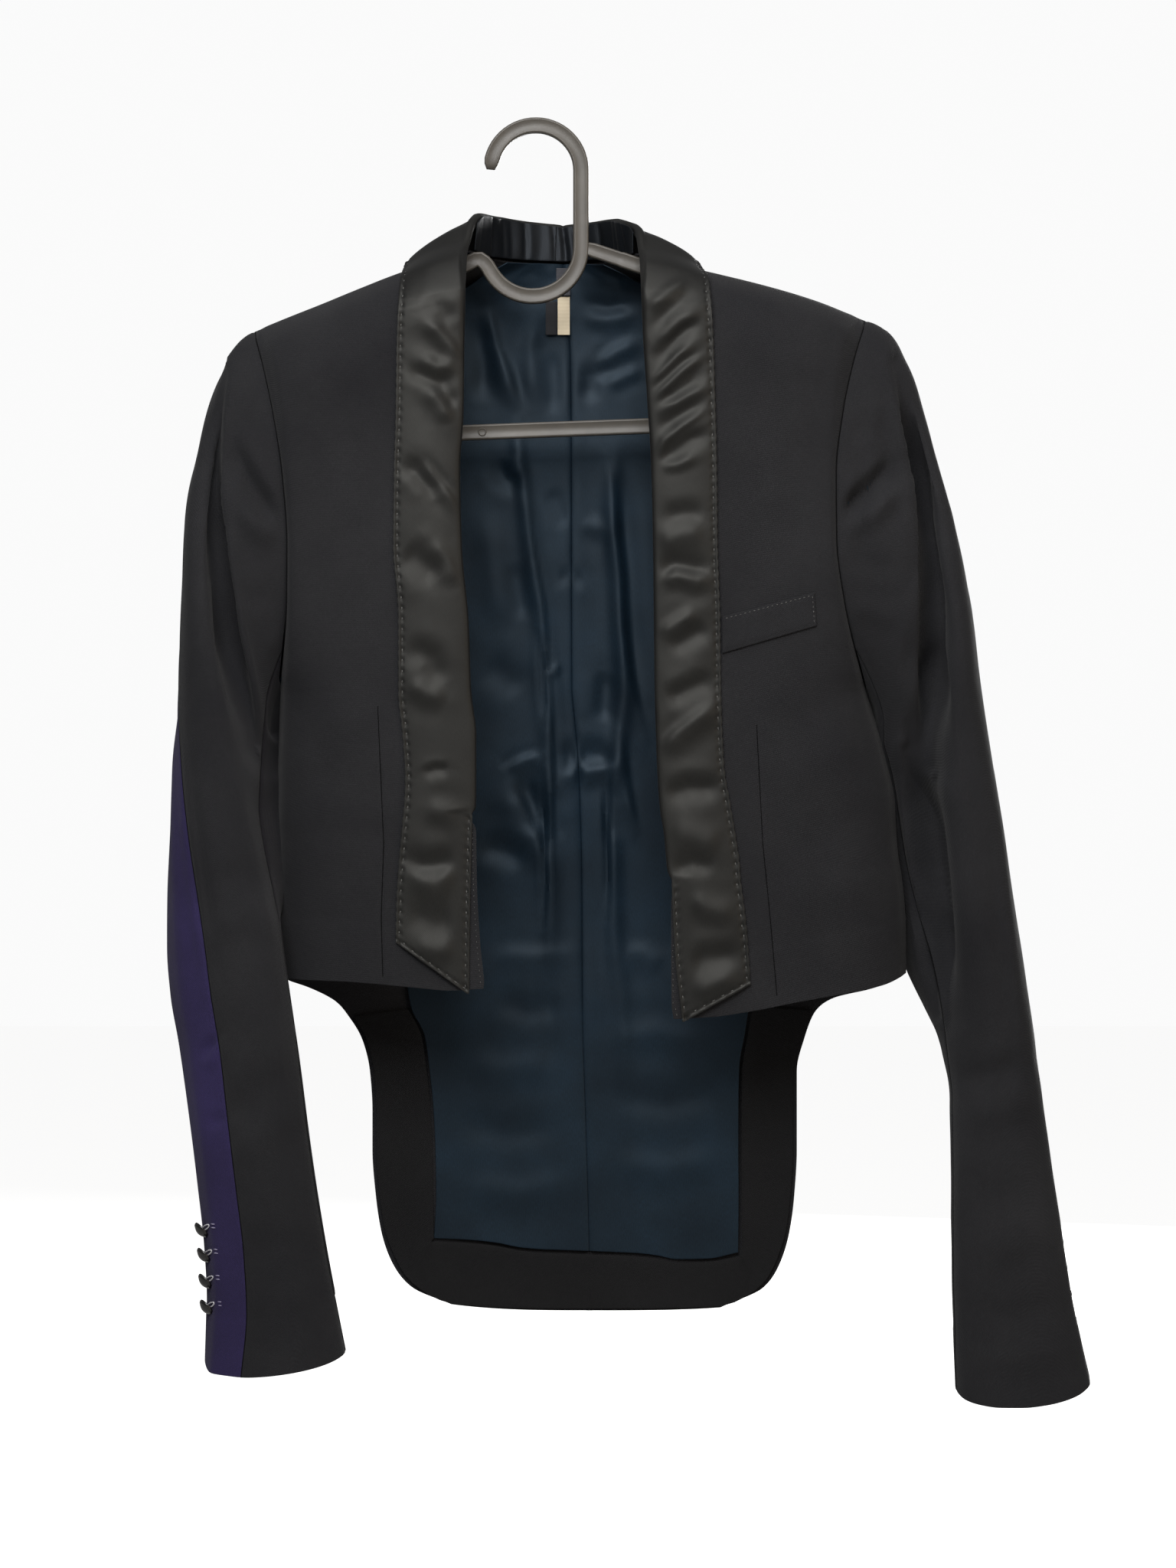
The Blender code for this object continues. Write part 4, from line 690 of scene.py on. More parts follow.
def seam_ways(side, front, back, loops):
    """Ways out of a side's front, back and sleeve, shared where they are sewn together."""
    front_out = ways_out(front, FORWARD)
    back_out = ways_out(back, -FORWARD)
    sleeve = sleeve_out(loops)
    lean = unit(np.array([SHOULDER[side]["z"][0] - SHOULDER[side]["z"][-1], 0.0,
                          abs(SHOULDER[side]["x"][-1] - SHOULDER[side]["x"][0])]))
    if side == "right":
        lean[0] = -lean[0]
    lean = unit(lean + 0.2 * UP)
    front_out[0] = lean
    back_out[0, NECK_COLUMN:] = lean
    back_out[:, 0, 0] = 0.0
    back_out[:, 0] = unit(back_out[:, 0])
    outward = np.array([-1.0 if side == "right" else 1.0, 0.0, 0.0])
    front_out[ARM_ROWS:, -1] = outward
    back_out[ARM_ROWS: len(front) - 1, -1] = outward
    body = np.concatenate([front_out[7::-1, -1], back_out[1: ARM_ROWS + 1, -1], front_out[8:7:-1, -1]])
    shared = blend_seam(body, sleeve[0])
    sleeve[0] = blend_seam(sleeve[0], body)
    shared[16] = outward
    front_out[: ARM_ROWS + 1, -1] = shared[[7, 6, 5, 4, 3, 2, 1, 0, 17, 16]]
    back_out[: ARM_ROWS + 1, -1] = shared[7:17]
    return front_out, back_out, sleeve


class Sheet:
    """Cloth as fine rows of points in millimetres, with its way out and real distances along it."""

    def __init__(self, grid, out, pitch, close_across=()):
        rows = places(grid, 0, pitch)
        columns = places(grid, 1, pitch, close_across)
        self.points = finer(grid, rows, columns)
        rough = finer(out, rows, columns)
        self.out = ways_out(self.points, rough)
        # The way out at the outer edges is that of the neighbour too.
        for part in (np.s_[0], np.s_[-1], np.s_[:, 0], np.s_[:, -1]):
            self.out[part] = unit(rough[part])
        self.across, self.down = distances(self.points)
        self.base = self.points.copy()

    def push(self, by):
        """Moves the cloth out by an amount at each point."""
        self.points = self.points + np.asarray(by)[..., None] * self.out

    def from_edge(self, edge):
        """The distance from an edge: top, bottom, start or end."""
        if edge == "top":
            return self.down - self.down[:1]
        if edge == "bottom":
            return self.down[-1:] - self.down
        if edge == "start":
            return self.across - self.across[:, :1]
        return self.across[:, -1:] - self.across


def places(grid, axis, pitch, close=()):
    """Places along a grid at an even pitch, with closer ones beside both edges and at some lengths."""
    steps = np.linalg.norm(np.diff(grid, axis=axis), axis=2).mean(axis=1 - axis)
    run = np.append(0.0, np.cumsum(steps))
    total = run[-1]
    count = max(2, round(total / pitch))
    at = list(np.linspace(0, total, count + 1)) + [0.9, 2.0, total - 2.0, total - 0.9]
    for length in close:
        at += [length - 1.9, length - 0.8, length, length + 0.8, length + 1.9]
    at = np.unique(np.clip(np.round(at, 3), 0, total))
    keep = np.append(True, np.diff(at) > 0.25)
    keep[-1] = True
    at = at[keep]
    return np.interp(at, run, np.arange(len(run)))


def finer(grid, rows, columns):
    """A coarse grid made fine, on smooth lines through its own points."""
    down = follow(np.arange(len(grid)), grid, rows)
    side = follow(np.arange(grid.shape[1]), np.swapaxes(down, 0, 1), columns)
    return np.swapaxes(side, 0, 1)


def distances(points):
    """Real distances across and down the cloth, from its first column and row."""
    across = np.linalg.norm(np.diff(points, axis=1), axis=2)
    down = np.linalg.norm(np.diff(points, axis=0), axis=2)
    across = np.concatenate([np.zeros((len(points), 1)), np.cumsum(across, axis=1)], axis=1)
    down = np.concatenate([np.zeros((1, points.shape[1])), np.cumsum(down, axis=0)], axis=0)
    return across, down


def near_path(x, z, path):
    """Distance to a path seen from the front, signed by side, and how far along it the place is."""
    path = np.asarray(path, float)
    lengths = np.hypot(*np.diff(path, axis=0).T)
    total = lengths.sum()
    best = np.full(np.shape(x), np.inf)
    sign = np.ones(np.shape(x))
    along = np.zeros(np.shape(x))
    run = 0.0
    for (ax, az), (bx, bz), length in zip(path, path[1:], lengths):
        dx, dz = bx - ax, bz - az
        part = np.clip(((x - ax) * dx + (z - az) * dz) / (length * length), 0, 1)
        far = np.hypot(x - ax - part * dx, z - az - part * dz)
        closer = far < best
        best = np.where(closer, far, best)
        sign = np.where(closer, np.sign(dx * (z - az) - dz * (x - ax) + 1e-9), sign)
        along = np.where(closer, (run + part * length) / total, along)
        run += length
    return best, sign, along


def creased(x, z, folds):
    """Height of listed folds: height, half width, lean and path. Below 0 is a trough.

    Lean, from -1 to 1, makes a fold steeper on the left of its path's way, or on the right.
    """
    height = np.zeros(np.shape(x))
    for rise, width, lean, path in folds:
        far, sign, along = near_path(x, z, path)
        taper = smooth_step(np.minimum(along, 1 - along) / 0.3)
        reach = width * (1 - 0.65 * lean * sign)
        ridge = np.exp(-((far / reach) ** 2))
        # The cloth dips a little beyond a fold.
        beyond = 0.2 * np.exp(-(((far - 1.9 * reach) / reach) ** 2))
        height += rise * (0.15 + 0.85 * taper) * (ridge - beyond)
    return height


def unrest(x, z, size, seed):
    """Gentle unevenness of cloth that hangs, between -1 and 1, from a few crossing waves."""
    total = np.zeros(np.shape(x))
    for k in range(5):
        turn = seed * 1.7 + k * 2.399
        wave = size * (0.7 + 0.32 * k)
        push = 0.8 * np.sin((x * math.sin(turn) - z * math.cos(turn)) / (1.9 * wave) + 1.3 * k)
        total += np.sin((x * math.cos(turn) + z * math.sin(turn)) / wave + seed * (k + 1) + push)
    return total / 5


def seam(distance, depth=0.55, width=1.1):
    """A pressed seam: a narrow groove, and a faint ridge beside it where the cloth is doubled."""
    groove = -depth * np.exp(-((distance / width) ** 2))
    return groove + 0.22 * depth * np.exp(-(((distance - 5.0) / 2.6) ** 2))


def dress(piece, node, surface, slot):
    """Gives a finished piece its finish and its body, and hides the solids that it stands for."""
    for name in surface if isinstance(surface, tuple) else (surface,):
        piece.data.materials.append(finish(name))
    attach(piece, "root")
    if node:
        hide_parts(*((node,) if isinstance(node, str) else node))


def object_from(bm, name):
    """A new object at the origin from a bmesh whose points are in millimetres."""
    bmesh.ops.scale(bm, vec=(MM, MM, MM), verts=bm.verts)
    mesh = bpy.data.meshes.new(name)
    bm.to_mesh(mesh)
    bm.free()
    if not mesh.polygons:
        raise RuntimeError(f"{name} has no faces")
    mesh.shade_smooth()
    made = bpy.data.objects.new(name, mesh)
    bpy.context.scene.collection.objects.link(made)
    return made


# Below this width, in metres, sew stops before measuring a piece's area.
SMALLEST_SHEET = 0.012


def sew(name, sheet, surface, slot, node=None, thick=1.3, rim=0.45):
    """A thin shell of cloth from a sheet of points, with its weave measured along the cloth."""
    rows, columns = sheet.points.shape[:2]
    bm = bmesh.new()
    weave = bm.loops.layers.uv.new("weave")
    bmesh.ops.create_grid(bm, x_segments=columns - 1, y_segments=rows - 1, size=0.5)
    for vert in bm.verts:
        c = round((vert.co.x + 0.5) * (columns - 1))
        r = round((vert.co.y + 0.5) * (rows - 1))
        vert.co = sheet.points[r, c]
        for loop in vert.link_loops:
            loop[weave].uv = (sheet.across[r, c] * MM, -sheet.down[r, c] * MM)
    across = np.diff(sheet.points, axis=1)[:-1]
    down = np.diff(sheet.points, axis=0)[:, :-1]
    if (np.cross(across, down) * sheet.out[:-1, :-1]).sum() < 0:
        bmesh.ops.reverse_faces(bm, faces=bm.faces)
    piece = object_from(bm, name)
    dress(piece, node, surface, slot)
    wall = piece.modifiers.new("thickness", "SOLIDIFY")
    wall.thickness = thick * MM
    wall.offset = -1.0
    wall.material_offset = 1 if isinstance(surface, tuple) else 0
    edge = piece.modifiers.new("soft edge", "BEVEL")
    edge.width = rim * MM
    edge.segments = 2
    edge.limit_method = "ANGLE"
    edge.angle_limit = math.radians(50)
    width = float(sheet.across[:, -1].max()) * MM
    if width < SMALLEST_SHEET:
        return
    area = area_of(sheet.base) * MM * MM


def area_of(points):
    """Area of a grid of points."""
    a = points[1:, :-1] - points[:-1, :-1]
    b = points[:-1, 1:] - points[:-1, :-1]
    return float(np.linalg.norm(np.cross(a, b), axis=2).sum())


def stitches(name, places_out, surface, slot, length, radius):
    """Short threads, one on each place: a point, the way it runs and the way out."""
    bm = bmesh.new()
    for point, run, out in places_out:
        across = np.cross(out, run)
        turn = Matrix([[run[k], across[k], out[k], point[k]] for k in range(3)] + [[0, 0, 0, 1]])
        size = Matrix.Diagonal((length / 2, radius, radius, 1.0))
        bmesh.ops.create_uvsphere(bm, u_segments=6, v_segments=4, radius=1.0, matrix=turn @ size)
    dress(object_from(bm, name), None, surface, slot)


def sewn_lines(name, lines, radius=0.42, sunk=0.75, surface="seam shadow wool", slot="wool"):
    """Threads, or tubes of painted shadow in the bottoms of seams, along lines of points, each with its ways out."""
    curve = bpy.data.curves.new(name, "CURVE")
    curve.dimensions = "3D"
    curve.bevel_depth = radius * MM
    curve.bevel_resolution = 1
    curve.use_fill_caps = True
    for points, ways in lines:
        spline = curve.splines.new("POLY")
        spline.points.add(len(points) - 1)
        for place, point in zip(spline.points, points - sunk * ways):
            place.co = (*(point * MM), 1.0)
    piece = bpy.data.objects.new(name, curve)
    bpy.context.scene.collection.objects.link(piece)
    dress(piece, None, surface, slot)


def linear(code):
    """A hex sRGB colour as linear red, green, blue and alpha."""
    parts = [int(code[k: k + 2], 16) / 255 for k in (1, 3, 5)]
    return tuple(p / 12.92 if p <= 0.04045 else ((p + 0.055) / 1.055) ** 2.4 for p in parts) + (1.0,)


def add(tree, kind, values=None, links=None, **settings):
    """A node with its settings, its socket values and the outputs that feed it."""
    node = tree.nodes.new(kind)
    for name, value in settings.items():
        setattr(node, name, value)
    for name, value in (values or {}).items():
        node.inputs[name].default_value = value
    for name, source in (links or {}).items():
        tree.links.new(source, node.inputs[name])
    return node


def new_finish(name, **shader_values):
    """A material with a Principled shader and its constant values."""
    made = bpy.data.materials.new(name)
    made.use_nodes = True
    shader = made.node_tree.nodes["Principled BSDF"]
    for socket, value in shader_values.items():
        shader.inputs[socket.replace("_", " ")].default_value = value
    return made, made.node_tree, shader


def total(tree, patterns, share=1.0):
    """The sum of some patterns, or a share of it."""
    height = patterns[0]
    for pattern in patterns[1:]:
        height = add(tree, "ShaderNodeMath", links={0: height, 1: pattern}, operation="ADD").outputs[0]
    return add(tree, "ShaderNodeMath", {1: share}, {0: height}, operation="MULTIPLY").outputs[0]


def shaded(tree, patterns, stops, shades):
    """Hex shades at some stops along the mean of some patterns."""
    node = add(tree, "ShaderNodeValToRGB", links={"Fac": total(tree, patterns, 1 / len(patterns))})
    elements = node.color_ramp.elements
    while len(elements) < len(shades):
        elements.new(0.5)
    for element, stop, shade in zip(elements, stops, shades):
        element.position = stop
        element.color = linear(shade)
    return node.outputs["Color"]


def relief(tree, shader, patterns, strength, depth):
    """Raises a surface by the sum of some patterns."""
    bump = add(tree, "ShaderNodeBump", {"Strength": strength, "Distance": depth},
               {"Height": total(tree, patterns)})
    tree.links.new(bump.outputs["Normal"], shader.inputs["Normal"])


def worn(tree, shader, pattern, low, high):
    """Makes a surface rougher where a pattern is strong."""
    rough = add(tree, "ShaderNodeMapRange", {"To Min": low, "To Max": high}, {"Value": pattern})
    tree.links.new(rough.outputs[0], shader.inputs["Roughness"])


def threads(tree, place, pitch, turn, warp=0.0):
    """Parallel threads at a real pitch in metres, turned by an angle in degrees."""
    spin = add(tree, "ShaderNodeMapping", {"Rotation": (0, 0, math.radians(turn))}, {"Vector": place})
    # At a scale of 1 the wave texture repeats every 2 pi / 20.
    scale = 1 / pitch / 20 * 2 * math.pi
    wave = add(tree, "ShaderNodeTexWave", {"Scale": scale, "Distortion": warp, "Detail": 1.0,
                                           "Detail Scale": 2.0}, {"Vector": spin.outputs[0]})
    return wave.outputs["Fac"]


# Where the wool's shades stand in its slow and fine noise together.
WOOL_STOPS = (0.3, 0.5, 0.7)
# The undersleeve's painted violet sheen fades to painted shade along the sleeve's inner edge: the way across that
# edge, and the places along that way, in metres, between which it fades.
SHEEN_TO_SHADE_WAY = (1.0, 0.0, 0.0725)
SHEEN_TO_SHADE_FADE = (-0.204, -0.195)


def wool(name, shades, sheen, inner_painted_shades=None):
    """Worsted wool, woven in a fine twill and pressed: matt, with a soft nap that lifts its edges.

    Where inner_painted_shades are given, its painted violet sheen fades to them, as painted shade, toward the sleeve's
    inner side.
    """
    made, tree, shader = new_finish(name, Roughness=0.85, Specular_IOR_Level=0.12, Sheen_Weight=sheen,
                                    Sheen_Roughness=0.45)
    coords = add(tree, "ShaderNodeTexCoord")
    weave, body = coords.outputs["UV"], coords.outputs["Object"]
    # The real twill repeats every 0.5 mm; it is drawn at 1.1 mm, so that it shows.
    twill = threads(tree, weave, 0.0011, 62, 0.6)
    cross = threads(tree, weave, 0.0009, -28, 0.4)
    nap = add(tree, "ShaderNodeTexNoise", {"Scale": 1400.0, "Detail": 3.0, "Roughness": 0.6},
              {"Vector": body}).outputs["Fac"]
    patchy = add(tree, "ShaderNodeTexNoise", {"Scale": 14.0, "Detail": 4.0, "Roughness": 0.55},
                 {"Vector": body}).outputs["Fac"]
    colour = shaded(tree, [patchy, nap], WOOL_STOPS, shades)
    if inner_painted_shades:
        far = shaded(tree, [patchy, nap], WOOL_STOPS, inner_painted_shades)
        place = add(tree, "ShaderNodeVectorMath", {1: SHEEN_TO_SHADE_WAY}, {0: body}, operation="DOT_PRODUCT")
        fade = add(tree, "ShaderNodeMapRange", {"From Min": SHEEN_TO_SHADE_FADE[0], "From Max": SHEEN_TO_SHADE_FADE[1]},
                   {"Value": place.outputs["Value"]})
        blend = add(tree, "ShaderNodeMix", data_type="RGBA")
        for socket, source in zip((0, 6, 7), (fade.outputs[0], colour, far)):
            tree.links.new(source, blend.inputs[socket])
        colour = blend.outputs[2]
    tree.links.new(colour, shader.inputs["Base Color"])
    lines = add(tree, "ShaderNodeMath", links={0: twill, 1: cross}, operation="MULTIPLY").outputs[0]
    relief(tree, shader, [lines, nap], 0.5, 0.0003)
    return made


def satin(name, shades, rough, turn, sheen, level, tint):
    """Satin: long floats of smooth filament that give a soft streaked lustre, over a faint rib."""
    made, tree, shader = new_finish(name, Roughness=rough, Specular_IOR_Level=level, Sheen_Weight=sheen,
                                    Sheen_Roughness=0.3, Specular_Tint=linear(tint))
    coords = add(tree, "ShaderNodeTexCoord")
    weave = coords.outputs["UV"]
    # Filaments are 0.15 mm apart; the rib that they make shows at about 0.7 mm.
    rib = threads(tree, weave, 0.0007, turn, 0.3)
    stretch = add(tree, "ShaderNodeMapping",
                  {"Rotation": (0, 0, math.radians(turn)), "Scale": (3200, 420, 1)}, {"Vector": weave})
    floats = add(tree, "ShaderNodeTexNoise", {"Scale": 1.0, "Detail": 2.0},
                 {"Vector": stretch.outputs[0]}).outputs["Fac"]
    cloud = add(tree, "ShaderNodeTexNoise", {"Scale": 22.0, "Detail": 3.0},
                {"Vector": coords.outputs["Object"]}).outputs["Fac"]
    tree.links.new(shaded(tree, [floats, cloud], (0.36, 0.5, 0.64), shades), shader.inputs["Base Color"])
    worn(tree, shader, cloud, rough - 0.06, rough + 0.08)
    relief(tree, shader, [rib, floats], 0.14, 0.00012)
    return made


def moulded(name, shades):
    """Injection moulded polypropylene: half matt, faintly grained, with scuffs from rails."""
    made, tree, shader = new_finish(name, Roughness=0.42, Specular_IOR_Level=0.5, IOR=1.49)
    body = add(tree, "ShaderNodeTexCoord").outputs["Object"]
    flow = add(tree, "ShaderNodeTexNoise", {"Scale": 60.0, "Detail": 3.0}, {"Vector": body}).outputs["Fac"]
    scuff = add(tree, "ShaderNodeTexNoise", {"Scale": 260.0, "Detail": 5.0, "Roughness": 0.7},
                {"Vector": body}).outputs["Fac"]
    tree.links.new(shaded(tree, [flow], (0.3, 0.5, 0.7), shades), shader.inputs["Base Color"])
    worn(tree, shader, scuff, 0.34, 0.52)
    relief(tree, shader, [scuff], 0.12, 0.0001)
    return made


def polished(name, shades):
    """Polished horn: dark, cloudy and glossy."""
    made, tree, shader = new_finish(name, Roughness=0.22, Specular_IOR_Level=0.5, Coat_Weight=0.3,
                                    Coat_Roughness=0.1)
    body = add(tree, "ShaderNodeTexCoord").outputs["Object"]
    cloud = add(tree, "ShaderNodeTexNoise", {"Scale": 320.0, "Detail": 4.0, "Distortion": 2.0},
                {"Vector": body}).outputs["Fac"]
    tree.links.new(shaded(tree, [cloud], (0.35, 0.5, 0.66), shades), shader.inputs["Base Color"])
    return made


def tape(name, shades):
    """Woven label tape, blank, with its fine crosswise rib."""
    made, tree, shader = new_finish(name, Roughness=0.7, Specular_IOR_Level=0.3, Sheen_Weight=0.1)
    rib = threads(tree, add(tree, "ShaderNodeTexCoord").outputs["UV"], 0.0006, 90, 0.2)
    tree.links.new(shaded(tree, [rib], (0.2, 0.5, 0.8), shades), shader.inputs["Base Color"])
    relief(tree, shader, [rib], 0.3, 0.0001)
    return made


def thread(name, shades):
    """Twisted silk thread: short bright turns along each stitch, painted highlights of the twist."""
    made, tree, shader = new_finish(name, Roughness=0.5, Specular_IOR_Level=0.4, Sheen_Weight=0.2)
    body = add(tree, "ShaderNodeTexCoord").outputs["Object"]
    twist_glints = add(tree, "ShaderNodeTexNoise", {"Scale": 2600.0, "Detail": 2.0}, {"Vector": body}).outputs["Fac"]
    tree.links.new(shaded(tree, [twist_glints], (0.35, 0.5, 0.65), shades), shader.inputs["Base Color"])
    return made


FINISHES = {
    "worsted wool": lambda name: wool(name, ("#1a1a1d", "#212123", "#29292b"), 0.05),
    # The same worsted wool in painted shade: darker, as the band round the tail hangs behind the coat, out of the
    # light.
    "tail wool": lambda name: wool(name, ("#131315", "#181819", "#1d1d1f"), 0.03),
    # Painted shadow: near-black tubes in the bottoms of the seams and darts, where no light reaches.
    "seam shadow wool": lambda name: wool(name, ("#060607", "#09090a", "#0c0c0d"), 0.0),
    # Painted violet sheen, coloured light caught by the nap of the right undersleeve, fading to painted shade toward
    # the sleeve's inner side.
    "violet worsted wool": lambda name: wool(name, ("#221d36", "#2a2444", "#332c53"), 0.05,
                                             ("#131216", "#19181c", "#1f1e22")),
    # A warm grey lustre, which the tinted highlights give.
    "black satin": lambda name: satin(name, ("#0e0e0e", "#141414", "#1b1b1a"), 0.5, 90, 0.03, 0.44,
                                      "#d6d5cf"),
    "ruched satin": lambda name: satin(name, ("#090b0e", "#0e1013", "#141619"), 0.46, 0, 0.02, 0.3,
                                       "#c8d0da"),
    # Navy, with a cold blue lustre on its creases.
    "navy lining satin": lambda name: satin(name, ("#0a121a", "#0e1922", "#13212d"), 0.47, 0, 0.02, 0.4,
                                            "#b3c6d6"),
    "grey moulded polypropylene": lambda name: moulded(name, ("#46423d", "#4b4741", "#504c46")),
    "dark horn": lambda name: polished(name, ("#060505", "#0d0b0b", "#171413")),
    "black label tape": lambda name: tape(name, ("#0c0c10", "#131318", "#1b1b20")),
    "grey label tape": lambda name: tape(name, ("#242428", "#323237", "#434348")),
    "cream label tape": lambda name: tape(name, ("#cdbb9a", "#dccbae", "#e8dcc4")),
    # Black silk, painted grey: its lighter shades are painted highlights where the stitches catch the light.
    "black silk thread": lambda name: thread(name, ("#2c2c2b", "#434341", "#5e5e5a")),
    "violet silk thread": lambda name: thread(name, ("#69627f", "#837c98", "#9d96b0")),
    "pale shank thread": lambda name: thread(name, ("#908e94", "#b8b6ba", "#dcdadc")),
}


def finish(name):
    """The material of that name, made once."""
    return bpy.data.materials.get(name) or FINISHES[name](name)


# Stitches round each lapel: how far apart, and how far in from its edge.
PICK_SPACING = 6.2
PICK_INSET = 2.4
# Below these heights the lapels' inner edges are sewn down.
SEWN_BELOW = {"right": -410.0, "left": -449.0}


def folds(text):
    """Folds from rows of text: height, half width and lean, then x and z of each point of the path."""
    rows = [[float(value) for value in line.split()] for line in text.strip().splitlines()]
    return [(*row[:3], list(zip(row[3::2], row[4::2]))) for row in rows]


